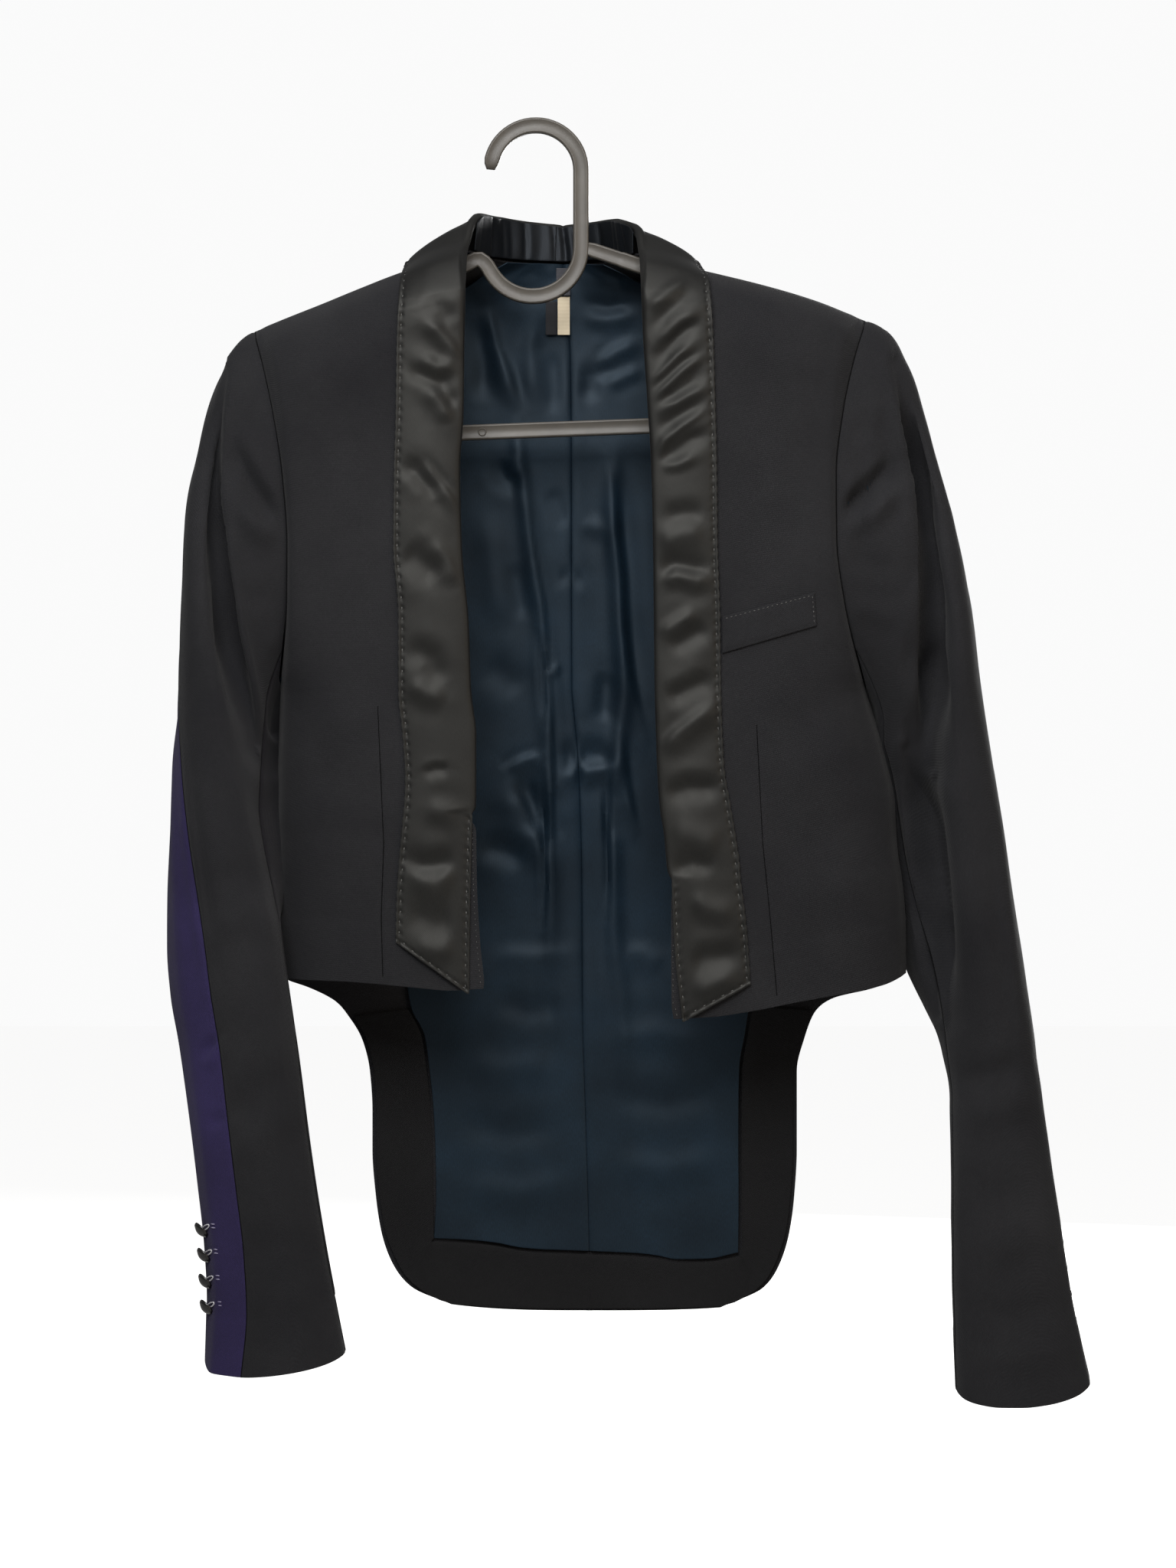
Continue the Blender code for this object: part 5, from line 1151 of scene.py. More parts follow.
# Folds by piece, as seen from the front.
FOLDS_FINE = {
    "front_right": folds("""
        -0.9 16 0  -135 -163  -122 -244  -117 -317
        0.8 14 0  -140 -362  -117 -348  -88 -358
        -1 12 0  -142 -398  -117 -385  -85 -398
        0.9 12 0  -140 -439  -113 -430  -83 -444
        -0.8 13 0  -138 -477  -108 -471  -83 -477
        0.8 12 0  -153 -145  -126 -154  -95 -140
        -0.8 9 0  -144 -335  -126 -362  -117 -407
    """),
    "front_left": folds("""
        -0.9 16 0  173 -163  154 -217  145 -272
        0.8 12 0  118 -127  154 -140  182 -131
        -1 12 0  182 -335  159 -353  136 -362
        1 12 0  195 -362  168 -380  136 -394
        -1 12 0  204 -407  177 -416  141 -430
        0.9 14 0  209 -453  182 -453  145 -466
        -0.7 10 0  163 -403  168 -448  170 -498
        0.7 9 0  125 -380  130 -434  133 -493
    """),
    "shawl_right": folds("""
        1.2 4.5 0.3  -67 -117  -58 -123  -50 -132  -43 -142
        -0.92 5.5 0  -69 -105  -56 -109  -46 -120
        1 4.5 0  -69 -138  -58 -145  -45 -144
        -1.1 4.2 0  -77 -143  -69 -149  -59 -153  -45 -150
        -0.92 5 0  -59 -153  -51 -162  -45 -168
        1.1 5 0.3  -64 -155  -55 -167  -50 -179
        -1.4 6 -0.3  -81 -201  -70 -206  -61 -216  -58 -224
        1 3.8 0.5  -69 -198  -60 -210  -50 -222  -45 -234
        -1.4 8.5 0  -79 -252  -67 -260  -55 -270
        1.1 6 0.3  -63 -246  -52 -260  -45 -275
        -1.1 7 0  -78 -308  -62 -317  -53 -333
        0.92 6 0  -76 -331  -64 -338  -51 -341
        -0.8 3.5 0.4  -67 -385  -59 -382  -50 -382
        0.9 6 0  -66 -405  -52 -408  -39 -414
        -1.1 5.5 -0.3  -79 -431  -67 -439  -54 -438  -40 -434
        1.4 6.5 0.2  -75 -447  -59 -451  -43 -442
        -1.1 7.5 0  -77 -467  -59 -473  -43 -470
        0.9 6 0  -72 -486  -58 -490  -44 -487
    """),
    "shawl_left": folds("""
        0.92 4 0  65 -112  77 -102  91 -91
        -0.8 4.5 0  68 -122  80 -111  95 -98
        0.92 3.4 -0.4  72 -132  82 -122  98 -111
        -1.2 4.6 0  68 -144  77 -135  89 -122  99 -117
        0.7 2.6 0.3  66 -155  74 -149  83 -139  95 -129
        -0.65 2.4 0  68 -160  77 -151  88 -141  98 -135
        0.7 2.6 -0.3  69 -167  76 -158  86 -148  101 -137
        -1.1 4.2 0.2  72 -167  82 -161  92 -153  101 -143
        0.81 3 0  73 -170  83 -166  94 -160  103 -156
        -1.1 4.6 0  70 -180  80 -177  91 -170  101 -164
        0.76 2.8 -0.4  71 -200  77 -188  86 -180  95 -174  103 -167
        -1.2 4.6 0.3  73 -202  82 -194  92 -187  105 -183
        0.81 3 0  74 -204  85 -202  96 -197
        -0.92 5.5 0  75 -234  88 -231  101 -231
        1.1 7 0  71 -249  86 -244  102 -242
        -1.2 4.6 -0.5  72 -268  82 -261  93 -263  106 -264
        1.1 4.5 0  73 -271  85 -269  95 -272  106 -270
        0.92 5 0.3  72 -305  82 -298  97 -288
        -1 6 0  78 -312  90 -305  103 -297
        -1.6 6.2 0.3  76 -342  88 -336  107 -327
        1.4 5.2 0.4  73 -374  85 -361  97 -352  109 -343
        -1.6 6.4 0.2  75 -399  90 -393  112 -393
        1.3 9 0  78 -419  93 -421  111 -428
        -1.1 5.5 0  79 -443  93 -437  108 -441
        0.97 6.5 0  88 -457  103 -465  119 -469
        -1.4 6.5 0.2  84 -502  100 -493  123 -491
        1 6 0  87 -516  101 -512  121 -503
    """),
    "sleeve_right": folds("""
        -14 6.2 0.85  -186 -145  -189 -172  -190 -200  -187 -231  -183 -266  -178 -305  -172 -336  -166 -367
        2 5 0  -181 -139  -183 -184  -182 -223  -180 -260  -175 -299
        -5.5 6 0.4  -180 -190  -170 -209  -158 -227  -151 -235
        3.2 6.5 0  -176 -225  -164 -240  -150 -243
        -1 7 0  -176 -168  -166 -178  -156 -175
        -1 5 0  -178 -272  -168 -281  -152 -279
        1 4.5 0  -160 -313  -155 -307  -150 -299
        1.2 9 0  -196 -192  -199 -250  -206 -318  -208 -367
        1.1 3.2 0.4  -208 -381  -204 -419  -199 -451  -196 -480  -192 -516
        -1 3.5 0  -203 -385  -199 -424  -194 -463  -190 -501
        -1.6 2.6 0.5  -183 -537  -189 -543  -196 -551
        1 3.5 0  -182 -547  -190 -554  -199 -558
        -1 3.5 0  -177 -583  -184 -589  -196 -592
        -1.2 10 0  -187 -588  -165 -576  -141 -554
        1.2 10 0  -181 -615  -160 -600  -138 -576
        -1.4 9 0  -191 -451  -172 -443  -153 -453
        1.2 8 0  -189 -480  -167 -467  -150 -482
        -0.9 9 0  -172 -672  -150 -660  -126 -668
        0.9 10 0  -175 -704  -148 -692  -122 -701
    """),
    "sleeve_left": folds("""
        -18 7 -0.7  215 -140  221 -167  226 -196  230 -226  232 -251  233 -282  233 -320  234 -353  236 -380
        2 4.5 0  209 -126  214 -159  217 -185  221 -212  223 -241  224 -275  221 -306
        -6.5 5.6 -0.5  214 -199  201 -211  189 -223  179 -232
        3.4 6 0  218 -212  204 -226  190 -237  181 -241
        -1.2 7 0  186 -185  198 -179  212 -181
        -1.2 6 0  183 -263  198 -259  218 -267
        1.2 6 0  184 -288  198 -286  218 -296
        1.4 7 0  237 -200  242 -232  247 -271  251 -320  253 -365
        -1 6 0  243 -224  251 -251  257 -290
        -17 7 -0.7  223 -371  229 -409  234 -455  238 -498  243 -528
        1.2 4 0  274 -386  279 -452  285 -513  292 -556
        -0.9 5 0  269 -401  274 -457  278 -513  281 -549
        -1.8 8 0.2  248 -567  269 -564  295 -554
        1.3 9 0  249 -589  271 -587  299 -574
        -1.1 10 0  250 -627  274 -635  307 -622
        1.1 10 0  250 -658  276 -666  311 -653
        -1 8 0  256 -699  284 -706  317 -696
        0.8 9 0  254 -727  284 -732  321 -721
    """),
    "lining": folds("""
        -1.4 4 0.6  -7 -214  -4 -236  -1 -254  3 -276  5 -300  8 -326  10 -352  11 -395  10 -448
        1.5 4.2 0.8  -10 -186  -7 -214  -5 -236  -2 -254  2 -276  4 -300  6 -326  8 -352  9 -395  8 -448
        0.79 2.2 0.3  3 -269  5 -290  6 -310
        1.8 5 0.8  41 -190  47 -217  48 -238  51 -262  52 -297  56 -326  66 -364
        -2 6 -0.4  47 -193  52 -224  54 -248  56 -283  60 -317  65 -343
        1.6 4.5 0.7  51 -360  53 -383  56 -402  60 -419
        -1.6 5.5 0  43 -321  41 -341  40 -355
        -1.4 5 0  47 -388  47 -409  47 -429
        2.5 7 0.6  -19 -385  -13 -397  -6 -412  0 -429  7 -448
        -2.4 9 0  -13 -386  -4 -403  2 -424
        1.4 4 0.4  -18 -384  -10 -378  3 -373
        -1.6 7 0  -37 -428  -21 -431  -4 -438
        1.4 5 0.4  14 -390  25 -385  51 -380
        -1.6 6 0  13 -374  27 -372  46 -371
        0.8 2.4 0  13 -317  11 -322  9 -327
        -0.9 3.5 0  12 -391  13 -412  14 -429
        -1.5 5 0.3  -25 -193  -19 -204  -8 -210
        1 5 0  -16 -190  -14 -198  -12 -205
        -1 6 0  -14 -254  -11 -272  -6 -293
        1 8 0  -31 -222  -26 -257  -23 -300
        -1.1 9 0  -33 -317  -19 -326  -7 -335
        -0.8 6 0  8 -210  13 -222  20 -236
        0.7 5 0  27 -231  36 -235  44 -233
        -0.8 5 0  13 -262  22 -266  29 -264
        1.8 5 0.5  -31 -96  -25 -125  -18 -143  -11 -166
        -1.8 7 0  -36 -103  -31 -132  -34 -161
        1 5 0  -41 -89  -31 -91  -22 -87
        -1.3 4.5 0.3  27 -96  43 -100  61 -97
        0.9 4.5 0  27 -107  43 -108  61 -105
        1.5 5 0.4  36 -139  48 -128  63 -121
        -1.3 6 0  30 -161  34 -143  50 -132
        1 4 0  41 -148  57 -141  65 -137
        -0.9 4 0  48 -80  50 -89  51 -96
        0.8 4 0  -4 -80  2 -76  14 -80
        1.2 5 0  0 -103  -4 -125  -2 -161
        -1 5 0  9 -125  11 -148  9 -168
        0.9 7 0.3  -29 -501  -15 -496  -1 -497  24 -494
        0.9 7 0.3  52 -493  65 -495  78 -503
        -1.8 1.9 0  4 -385  4.5 -420  5 -450  4 -478
        -1.8 1.9 0  43 -385  42.5 -420  43 -450  43 -474
        -1.5 2.2 0  2 -300  4 -330  5 -356
        -1.2 8 0  -28 -520  -5 -529  18 -524
        1.1 9 0  -47 -557  -24 -566  14 -562
        -1.1 9 0  -52 -594  -19 -604  18 -599
        1 8 0  42 -548  74 -543  111 -552
        -1.1 9 0  42 -580  79 -585  116 -576
        1.1 9 0  -47 -636  -10 -641  23 -632
        1.1 9 0  42 -622  79 -627  116 -618
        -0.9 6 0  9 -473  7 -520  10 -576
        0.9 5 0  49 -473  52 -529  55 -590
    """),
    "back_right": folds("""
        -1.2 9 0.2  -150 -200  -120 -235  -80 -250
        1.2 9 0  -152 -240  -115 -270  -70 -280
        -1 7 0  -10 -125  -60 -118  -120 -135
        -1.2 8 0  -60 -330  -66 -420  -62 -520
        1.2 8 0  -88 -340  -95 -430  -92 -520
        -1.1 8 0.3  -148 -360  -120 -390  -98 -440
        1 10 0  -20 -540  -26 -620  -22 -700
        -1 9 0  -64 -560  -60 -630  -58 -690
    """),
    "back_left": folds("""
        -1.3 9 -0.2  190 -190  155 -225  115 -238
        1.1 8 0  192 -235  160 -262  112 -275
        1 7 0  40 -128  90 -120  150 -140
        -1.2 9 0  95 -340  102 -430  98 -515
        1.3 8 0  66 -330  70 -410  66 -500
        -1 8 0  205 -370  175 -400  150 -450
        1.1 9 0  120 -550  122 -620  116 -690
        -1 9 0  80 -560  84 -630  80 -700
    """),
    "sleeve_back_right": folds("""
        -1.8 6 0.2  -205 -330  -185 -352  -166 -362
        1.6 6 0  -208 -360  -190 -380  -170 -392
        -1.6 7 0  -214 -420  -190 -432  -166 -430
        1.2 8 0  -210 -470  -185 -480  -160 -474
        -1 9 0  -200 -560  -175 -570  -145 -560
        1 8 0  -180 -180  -190 -240  -195 -300
        -1 9 0  -190 -640  -165 -650  -135 -640
    """),
    "sleeve_back_left": folds("""
        -1.8 6 0.2  215 -340  240 -365  262 -372
        1.7 6 0  222 -372  245 -392  268 -398
        -1.5 7 0  228 -430  250 -440  280 -436
        1.1 8 0  236 -480  262 -494  288 -488
        -1 9 0  252 -570  280 -584  300 -574
        1 8 0  225 -180  238 -240  246 -300
        1 9 0  256 -650  284 -660  308 -650
    """),
}

# The darts of the fronts, as seen from the front, and where their columns lie across the cloth.
DARTS = {
    "right": [(-93, -345), (-89.5, -427), (-91, -470), (-90, -505)],
    "left": [(131, -356), (134.5, -425), (139, -470), (143, -516)],
}
DART_COLUMNS = {"right": (52, 56, 60), "left": (55, 59, 63)}

# The fronts' cloth runs smoothly past the foot of the armhole: between these heights, beyond this
# distance from the open edge, in so many passes.
FOOT_HEIGHTS = (-285, -400)
FOOT_INSET = 55
FOOT_PASSES = 90

# The cloth under each arm is drawn in beside the body, as it hangs: how far it goes sideways and back,
# and the heights where that starts and ends, with the drop over which it starts.
DRAWN_IN = {"right": (17.0, 9.0, 0.0), "left": (-7.0, 0.0, 0.0)}
DRAWN_HEIGHTS = {"right": (-330, -475, 10), "left": (-345, -525, 30)}


def closed_underarm(side, loops, angle):
    """The sleeve's loops with the cloth under the arm drawn in."""
    z = loops[..., 2]
    if side == "left":
        near = smooth_step(np.cos(angle))
    else:
        behind = np.mod(2 * math.pi - angle, 2 * math.pi)
        near = np.exp(-(((behind / math.pi - 0.18) / 0.16) ** 2))
    start, end, drop = DRAWN_HEIGHTS[side]
    zone = smooth_step((start - z) / drop) * smooth_step((z - end) / 40)
    return loops + (near * zone)[..., None] * np.array(DRAWN_IN[side])


class Side:
    """The grids of one side of the coat, as the solids have them."""

    def __init__(self, side):
        self.side = side
        self.front = front_grid(side)
        self.back = back_grid(side)
        self.loops, self.angles = sleeve_loops(side)
        self.loops = closed_underarm(side, self.loops, self.angles)
        ways = seam_ways(side, self.front, self.back, self.loops)
        self.front_out, self.back_out, self.sleeve_out = ways


SIDES = {}


def coat_side(side):
    if side not in SIDES:
        SIDES[side] = Side(side)
    return SIDES[side]


def dense(path, step):
    """Points at an even step along a path seen from the front."""
    path = np.array(path, float)
    run = np.append(0.0, np.cumsum(np.hypot(*np.diff(path, axis=0).T)))
    at = np.linspace(0, run[-1], max(3, round(run[-1] / step)))
    return np.stack([np.interp(at, run, path[:, 0]), np.interp(at, run, path[:, 1])], axis=1)


def dart_point(sheet, x, z):
    """The point of a sheet that lies nearest to a place seen from the front."""
    far = np.hypot(sheet.points[..., 0] - x, sheet.points[..., 2] - z)
    near = np.argsort(far, axis=None)[:4]
    weight = 1 / (far.flat[near] + 0.1)
    depth = (sheet.points[..., 1].flat[near] * weight).sum() / weight.sum()
    return x, depth, z


def make_front(side):
    coat = coat_side(side)
    sheet = Sheet(coat.front, coat.front_out, 2.2, close_across=DART_COLUMNS[side])
    x, z = sheet.points[..., 0], sheet.points[..., 2]
    upper, lower = FOOT_HEIGHTS
    eased = smooth_step((upper - z) / 25) * smooth_step((z - lower) / 25)
    eased *= smooth_step(sheet.from_edge("end") / 5)
    eased *= smooth_step((sheet.from_edge("start") - FOOT_INSET) / 10)
    for _ in range(FOOT_PASSES):
        y = sheet.points[..., 1]
        y[1:-1] += 0.5 * eased[1:-1] * ((y[:-2] + y[2:]) / 2 - y[1:-1])
    far, _, along = near_path(x, z, DARTS[side])
    depth = np.where((far < 3) & (along > 0), smooth_step(along / 0.35), 0.0)
    groove, ridge = np.exp(-((far / 1.2) ** 2)), np.exp(-(((far - 3.0) / 1.6) ** 2))
    sheet.push(depth * (0.3 * ridge - 0.4 * groove))
    edge = np.minimum(sheet.from_edge("top"), sheet.from_edge("end"))
    free = smooth_step(sheet.from_edge("end") / 25) * smooth_step(sheet.from_edge("top") / 20)
    sheet.push(seam(edge, 0.9, 1.2))
    uneven = 0.5 * unrest(x, z, 26, 1.0 + (side == "left"))
    sheet.push(free * (uneven + creased(x, z, FOLDS_FINE["front_" + side])))
    # The hem is turned up, so the cloth is a little thicker there and steps in above it.
    sheet.push(0.35 * smooth_step((36 - sheet.from_edge("bottom")) / 3))
    sew("wool_front_" + side, sheet, ("worsted wool", "navy lining satin"), "wool", "front_" + side)
    dart = np.array([dart_point(sheet, x, z) for x, z in dense(DARTS[side], 4.0)])
    # Tubes of painted shadow along the armhole, side and shoulder seams, and along the dart.
    sewn_lines("front_seams_" + side, [(sheet.base[:, -1], sheet.out[:, -1]), (sheet.base[0], sheet.out[0])])
    sewn_lines("front_dart_" + side, [(dart, np.broadcast_to(FORWARD, dart.shape))], 0.3, 0.05)
    rows = z[:, 0] < SEWN_BELOW[side] - 2
    pick("edge_stitches_" + side, *beside(sheet, "start", 1.6, rows), spacing=3.4, length=1.0, radius=0.2)


def make_back(side):
    coat = coat_side(side)
    sheet = Sheet(coat.back, coat.back_out, 2.8)
    x, z = sheet.points[..., 0], sheet.points[..., 2]
    below = smooth_step((-500 - z) / 10)
    edge = np.minimum(sheet.from_edge("start"), sheet.from_edge("end") + 60 * below)
    edge = np.minimum(edge, sheet.from_edge("top"))
    free = smooth_step(sheet.from_edge("end") / 25) * smooth_step(sheet.from_edge("start") / 14)
    sheet.push(seam(edge, 0.9, 1.2))
    uneven = 0.6 * unrest(x, z, 34, 4.0 + (side == "left"))
    sheet.push(free * (uneven + creased(x, z, FOLDS_FINE["back_" + side])))
    sew("wool_back_" + side, sheet, "worsted wool", "wool", "back_" + side)
    if side == "right":
        # A tube of painted shadow along the centre back seam.
        sewn_lines("back_seam", [(sheet.base[:, 0], sheet.out[:, 0])])


def make_sleeve(side):
    coat = coat_side(side)
    closed = np.concatenate([coat.loops, coat.loops[:, :1]], axis=1)
    ways = np.concatenate([coat.sleeve_out, coat.sleeve_out[:, :1]], axis=1)
    for part, span in (("topsleeve", np.s_[:, :TOP_COLUMNS + 1]), ("undersleeve", np.s_[:, TOP_COLUMNS:])):
        sheet = Sheet(closed[span], ways[span], 2.4)
        x, z = sheet.points[..., 0], sheet.points[..., 2]
        edge = np.minimum(sheet.from_edge("start"), sheet.from_edge("end"))
        edge = np.minimum(edge, sheet.from_edge("top"))
        sheet.push(seam(edge, 0.7, 1.2))
        free = smooth_step(sheet.from_edge("top") / 12) * smooth_step(edge / 5)
        facing = smooth_step((0.35 - sheet.out[..., 1]) / 0.6)
        height = 0.6 * unrest(x, z, 22, 7.0 + (side == "left"))
        height += creased(x, z, FOLDS_FINE["sleeve_" + side]) * facing
        height += creased(x, z, FOLDS_FINE["sleeve_back_" + side]) * (1 - facing)
        sheet.push(free * height)
        sheet.push(0.3 * smooth_step((34 - sheet.from_edge("bottom")) / 3))
        node = f"{part}_{side}"
        # The right undersleeve takes the wool with painted violet sheen and painted shade.
        violet = node == "undersleeve_right"
        cloth = "violet worsted wool" if violet else "worsted wool"
        sew(f"wool_{node}", sheet, (cloth, "navy lining satin"), "violet_wool" if violet else "wool", node)
        if part == "topsleeve":
            # Tubes of painted shadow along the topsleeve's two seams.
            seams = [(sheet.points[:, k], sheet.out[:, k]) for k in (0, -1)]
            sewn_lines("sleeve_seams_" + side, seams, 0.4, 0.1)


# How much bolder the lapels' folds are than their table says.
SHAWL_FOLDS = 1.35


def make_shawl(side):
    spacing = round(bpy.context.scene.tailcoat_sizes.stitch_spacing / MM, 3)
    grid = shawl_grid(side)
    out = ways_out(grid, FORWARD)
    if out[:, :FLAT_COLUMNS, 1].sum() > 0:
        out = -out
    out[0, :, 0] = 0.0
    out[0] = unit(out[0])
    sheet = Sheet(grid, out, 1.35)
    x, z = sheet.points[..., 0], sheet.points[..., 2]
    sheet.push(seam(sheet.from_edge("top"), 0.4))
    inset = sheet.from_edge("start")
    reach = smooth_step((sheet.from_edge("end") - 6) / 12) * smooth_step(inset / 3)
    free = reach * smooth_step(sheet.from_edge("top") / 10)
    uneven = 0.35 * unrest(x, z, 17, 9.0 + (side == "left"))
    sheet.push(free * (uneven + SHAWL_FOLDS * creased(x, z, FOLDS_FINE["shawl_" + side])))
    # The edges are pressed thin and picked through, with a dimple at each stitch.
    sewn = z[:, -1] < SEWN_BELOW[side]
    for edge, rows in (("start", slice(None)), ("bottom", slice(None)), ("end", sewn)):
        near = sheet.from_edge(edge)
        run = sheet.across if edge == "bottom" else sheet.down
        here = np.zeros(near.shape)
        here[rows] = 1.0
        stitch = (0.5 + 0.5 * np.cos(run / spacing * 2 * math.pi)) ** 2
        sheet.push(here * 0.2 * np.exp(-(((near - 0.9) / 0.9) ** 2)))
        sheet.push(-here * (0.2 + 0.7 * stitch) * np.exp(-(((near - PICK_INSET) / 1.0) ** 2)))
        if edge == "start":
            inward = unit(np.gradient(sheet.points, axis=1))
            sheet.points += (0.5 * stitch * np.exp(-((near / 1.8) ** 2)))[..., None] * inward
    sew("satin_shawl_" + side, sheet, "black satin", "satin", "shawl_" + side, thick=1.0)
    whole = slice(None)
    for name, edge, rows in (("edge", "start", whole), ("foot", "bottom", whole), ("roll", "end", sewn)):
        pick(f"pick_stitches_{side}_{name}", *beside(sheet, edge, PICK_INSET, rows), spacing)


def beside(sheet, edge, inset, keep=slice(None)):
    """A line a little in from an edge: its points, ways out and distances along the edge."""
    far = sheet.from_edge(edge)
    points, ways, run = sheet.points, sheet.out, sheet.down
    if edge in ("top", "bottom"):
        far, points, ways, run = far.T, points.swapaxes(0, 1), ways.swapaxes(0, 1), sheet.across.T
    column_at = np.abs(far - inset).argmin(axis=1)
    rows = np.arange(len(far))
    return tuple(part[rows, column_at][keep] for part in (points, ways, run))


def pick(name, line, ways, run, spacing, length=2.2, radius=0.34):
    """Small even stitches along a line on the cloth, each at a whole number of spacings."""
    made = []
    order = np.argsort(run)
    line, ways, run = line[order], ways[order], run[order]
    for at in np.arange(math.ceil(run[0] / spacing) * spacing + spacing, run[-1] - 0.5 * spacing, spacing):
        point = np.array([np.interp(at, run, line[:, k]) for k in range(3)])
        ahead = np.array([np.interp(at + 1.5, run, line[:, k]) for k in range(3)])
        out = unit(np.array([np.interp(at, run, ways[:, k]) for k in range(3)]))
        way = unit(ahead - point)
        out = unit(out - np.dot(out, way) * way)
        made.append((point + 0.15 * out, way, out))
    stitches(name, made, "black silk thread", "satin", length, radius)


def stand_lines():
    """The stand's lower seam, its upper edge and its inward way, from one end round to the other."""
    lower, upper, inward = [], [], []
    for side in ("right", "left"):
        _, centre, out, tip, _, rows = roll_frames(side)
        collar = COLLAR[side]
        stations = np.arange(len(collar["lie"]), dtype=float)
        at = np.linspace(stations[-1], 0, COLLAR_STATIONS)
        neck_seam = [follow(stations, collar[name], at) for name in ("seam_x", "seam_y", "seam_z")]
        order = slice(None, None, -1) if side == "right" else slice(1, None)
        lower.append(stack(*neck_seam)[order])
        upper.append((centre - (ROLL_RADIUS + 0.9) * out + 1.2 * tip)[:rows][order])
        inward.append((-out)[:rows][order])
    keep = slice(2, -2)
    return [np.concatenate(part)[keep] for part in (lower, upper, inward)]


def make_stand():
    lower, upper, inward = stand_lines()
    coarse = np.stack([upper, (upper + lower) / 2, lower])
    ways = unit(np.stack([inward] * 3))
    sheet = Sheet(coarse, ways, 1.1)
    sheet.push(np.full(sheet.across.shape, 0.4))
    length = sheet.across.max()
    # Fifteen gathers, a little uneven in width, depth and lean.
    part = sheet.across / length
    drop = sheet.down / sheet.down.max()
    warp = RUCHES * (part - 0.35 * np.sin(2 * math.pi * part) / (2 * math.pi))
    warp += 0.22 * np.sin(part * 23.0) + 0.10 * np.sin(part * 61.0 + 2.0)
    warp += 0.18 * np.sin(part * 17.0 + 1.0) * (drop - 0.5)
    wave = np.abs(np.sin(warp * math.pi))
    tall = 0.8 + 0.35 * np.sin(part * 37.0 + 0.7)
    tall = tall * (0.3 + 0.7 * smooth_step(np.minimum(part, 1 - part) / 0.2))
    full = np.sin(np.clip(0.16 + 0.84 * drop, 0, 1) * math.pi) ** 0.4
    sheet.push(1.5 * tall * (wave**1.3 - 0.45) * full)
    sew("satin_stand", sheet, "ruched satin", "satin", "collar_stand", thick=0.8,
        rim=0.3)
    # A tube of painted shadow along the stand's centre seam.
    middle = sheet.points.shape[1] // 2
    sewn_lines("stand_seam", [(sheet.points[:, middle], sheet.out[:, middle])], 0.3, 0.0)


def tuck_push(x, z):
    """How far the long tucks raise the lining."""
    push = np.zeros_like(x)
    for line in TUCKS:
        ridge = column(line, "z", "x", z)
        inside_tuck = smooth_step((line["z"].max() + 20 - z) / 30)
        inside_tuck *= smooth_step((z - line["z"].min()) / 50 + 1)
        push += TUCK_HEIGHT * inside_tuck * np.exp(-(((x - ridge) / TUCK_WIDTH) ** 2))
    return push


def inside(grid, out, rows, parts, by):
    """Points inside the back, made from its own points and moved in."""
    return read_grid(grid, rows, parts) - by * unit(read_grid(out, rows, parts))


def lining_face(side):
    """The lining's own face in the solids' rows, with its ways out and its last row."""
    coat = coat_side(side)
    grid, out = coat.back, coat.back_out
    spread = np.array([0, 0.1, 0.22, 0.34, 0.46, 0.6, 0.8, 1.0])
    last = row_at_height(grid, 0.2, LINING_HEM["z"].mean())
    rows = np.append(np.arange(math.floor(last)), last)
    row_grid = np.zeros((len(rows), len(spread)))
    part_grid = np.zeros_like(row_grid)
    for r, row in enumerate(rows):
        part_grid[r] = spread * part_at_edge(grid, side, row)
        row_grid[r] = row
    row_grid[0] = 0.04
    for c, part in enumerate(part_grid[-1]):
        x = read_grid(grid, last, part)[0]
        row_grid[-1, c] = row_at_height(grid, part, column(LINING_HEM, "x", "z", x))
    neck_ease = 3.6 * np.clip(1 - row_grid / 3, 0, 1) * smooth_step(part_grid / 0.12)
    face = inside(grid, out, row_grid, part_grid, WOOL + BACKING_GAP + LINING + neck_ease[..., None])
    ways = -unit(read_grid(out, row_grid, part_grid))
    return face, ways, row_grid[-1], part_grid[-1]


def make_lining(side):
    face, ways, hem_rows, hem_parts = lining_face(side)
    sheet = Sheet(face, ways, 1.8)
    x, z = sheet.points[..., 0], sheet.points[..., 2]
    sheet.points[..., 1] -= tuck_push(x, z)
    sheet.push(seam(sheet.from_edge("start"), 0.5))
    free = smooth_step(sheet.from_edge("start") / 5)
    uneven = 0.35 * unrest(x, z, 20, 12.0 + (side == "left"))
    sheet.push(free * (uneven + creased(x, z, FOLDS_FINE["lining"])))
    sew("satin_lining_" + side, sheet, "navy lining satin", "lining_satin", "lining_" + side, thick=0.7,
        rim=0.25)
    return hem_rows, hem_parts


